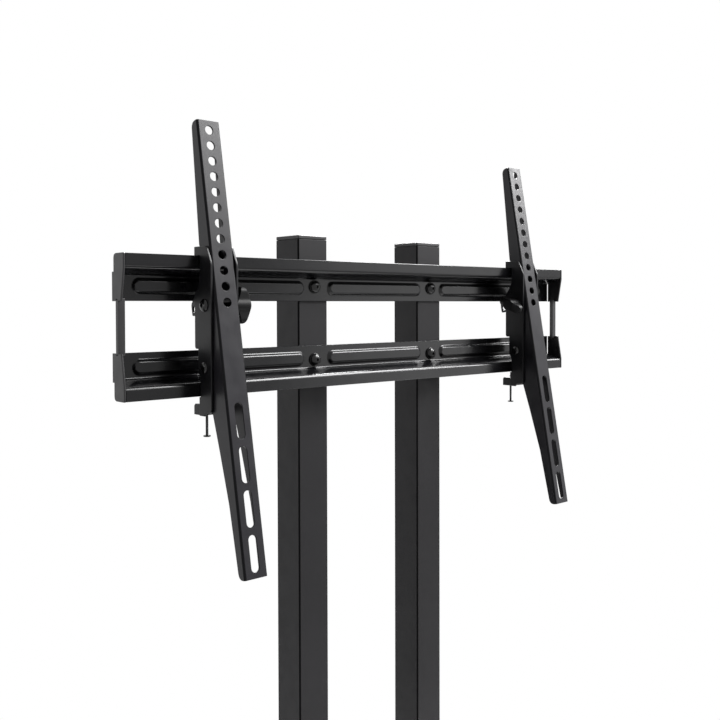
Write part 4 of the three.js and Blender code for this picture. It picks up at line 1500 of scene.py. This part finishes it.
disc = bmesh.new()
bmesh.ops.create_circle(disc, cap_ends=True, segments=FLOOR_STEPS, radius=FLOOR_RADIUS)
floor = shown("floor", mesh_of(disc))
floor.data.materials.append(floor_finish())
print("floor:", 2 * FLOOR_RADIUS, "m across")

# %% [markdown]
# A product photograph has a white surround. A plain white world would light the stand from
# all sides and turn black paint grey. So the world is white to the camera, in reflections
# and through clear things, but lights the stand only softly. The Light Path node tells
# these rays apart.

# %% White surround
SURROUND_LIGHT = 0.1
WHITE = 1


def larger(tree, first, second):
    most = tree.nodes.new("ShaderNodeMath")
    most.operation = "MAXIMUM"
    tree.links.new(first, most.inputs[0])
    tree.links.new(second, most.inputs[1])
    return most.outputs["Value"]


world = bpy.data.worlds.new("surround")
world.use_nodes = True
sky = world.node_tree
rays = sky.nodes.new("ShaderNodeLightPath").outputs
seen = larger(sky, larger(sky, rays["Is Camera Ray"], rays["Is Glossy Ray"]), rays["Is Transmission Ray"])
backdrop = sky.nodes["Background"]
backdrop.inputs["Color"].default_value = (1, 1, 1, 1)
sky.links.new(spread(sky, seen, SURROUND_LIGHT, WHITE, 0, 1), backdrop.inputs["Strength"])
bpy.context.scene.world = world
print("the surround lights the stand with", SURROUND_LIGHT)

# %% [markdown]
# Black paint is shaped by what it mirrors, so the lamps are soft boxes that can be seen in
# it. Point lamps would leave only dots. A tall box at the right front gives the rails
# their sheen, and ends where their left part turns dark. Higher ones brighten the tops of
# the arms, and the widest of them draws the bright line along each fold. A lamp from
# behind catches the ledge of the lower rail, and a weak one fills the left.

# %% Soft boxes
LIGHT_TARGET = Vector((0, 0, 1.15))
LIGHT_DISTANCE = 2.4
BOX_SIDE = 0.85  # of a usual soft box


def soft_box(name, azimuth, elevation, width, height, power):
    """A lamp that looks at the stand; azimuth is from the front towards the right, in degrees."""
    data = bpy.data.lights.new(name, "AREA")
    data.shape = "RECTANGLE"
    data.size = width
    data.size_y = height
    data.energy = power
    turn = math.radians(azimuth)
    rise = math.radians(elevation)
    way = Vector((math.sin(turn) * math.cos(rise), -math.cos(turn) * math.cos(rise), math.sin(rise)))
    made = shown(name, data)
    made.location = LIGHT_TARGET + way * LIGHT_DISTANCE
    made.rotation_euler = way.to_track_quat("Z", "Y").to_euler()


soft_box("rail_sheen", azimuth=47, elevation=5, width=BOX_SIDE, height=2 * BOX_SIDE, power=6.5)
soft_box("arm_key", azimuth=68, elevation=47, width=1.9, height=0.8, power=130)
soft_box("arm_front", azimuth=35, elevation=38, width=BOX_SIDE, height=BOX_SIDE, power=26)
soft_box("arm_side", azimuth=66, elevation=26, width=BOX_SIDE, height=0.5, power=34)
soft_box("rim", azimuth=135, elevation=35, width=BOX_SIDE, height=BOX_SIDE, power=170)
soft_box("left_fill", azimuth=-110, elevation=5, width=BOX_SIDE, height=BOX_SIDE, power=9)
print("soft boxes:", len(bpy.data.lights))

# %% [markdown]
# The camera stands where the photograph was taken. It could be placed by eye, but then the
# vanishing lines of the rails would never quite agree. Its place, its turn and its focal
# length were solved from the edges of the rails and posts. The small shift puts the middle
# of the view where the photograph has it.

# %% Camera
VIEW_PIXELS = 720
FOCAL_PIXELS = 902.08
CENTRE_U = 359.91
CENTRE_V = 324.75
YAW = 0.72882
PITCH = 0.02173
ROLL = -0.00261
EYE = Vector((-0.7306, lip_front - 0.76689, rail_top - 0.04916))
SENSOR = 36  # width in millimetres
CLIP_START = 0.05

camera_data = bpy.data.cameras.new("camera")
camera_data.sensor_width = SENSOR
camera_data.lens = FOCAL_PIXELS / VIEW_PIXELS * SENSOR
camera_data.shift_x = (VIEW_PIXELS / 2 - CENTRE_U) / VIEW_PIXELS
camera_data.shift_y = (CENTRE_V - VIEW_PIXELS / 2) / VIEW_PIXELS
camera_data.clip_start = CLIP_START
camera = shown("camera", camera_data)
forward = Vector((math.sin(YAW) * math.cos(PITCH), math.cos(YAW) * math.cos(PITCH), -math.sin(PITCH)))
level = Vector((math.cos(YAW), -math.sin(YAW), 0))
above = level.cross(forward)
right = level * math.cos(ROLL) + above * math.sin(ROLL)
up = above * math.cos(ROLL) - level * math.sin(ROLL)
camera.matrix_world = Matrix((right, up, -forward)).transposed().to_4x4()
camera.location = EYE
bpy.context.scene.camera = camera
bpy.context.scene.view_settings.view_transform = "Standard"
print("camera at", [round(value, 4) for value in EYE])
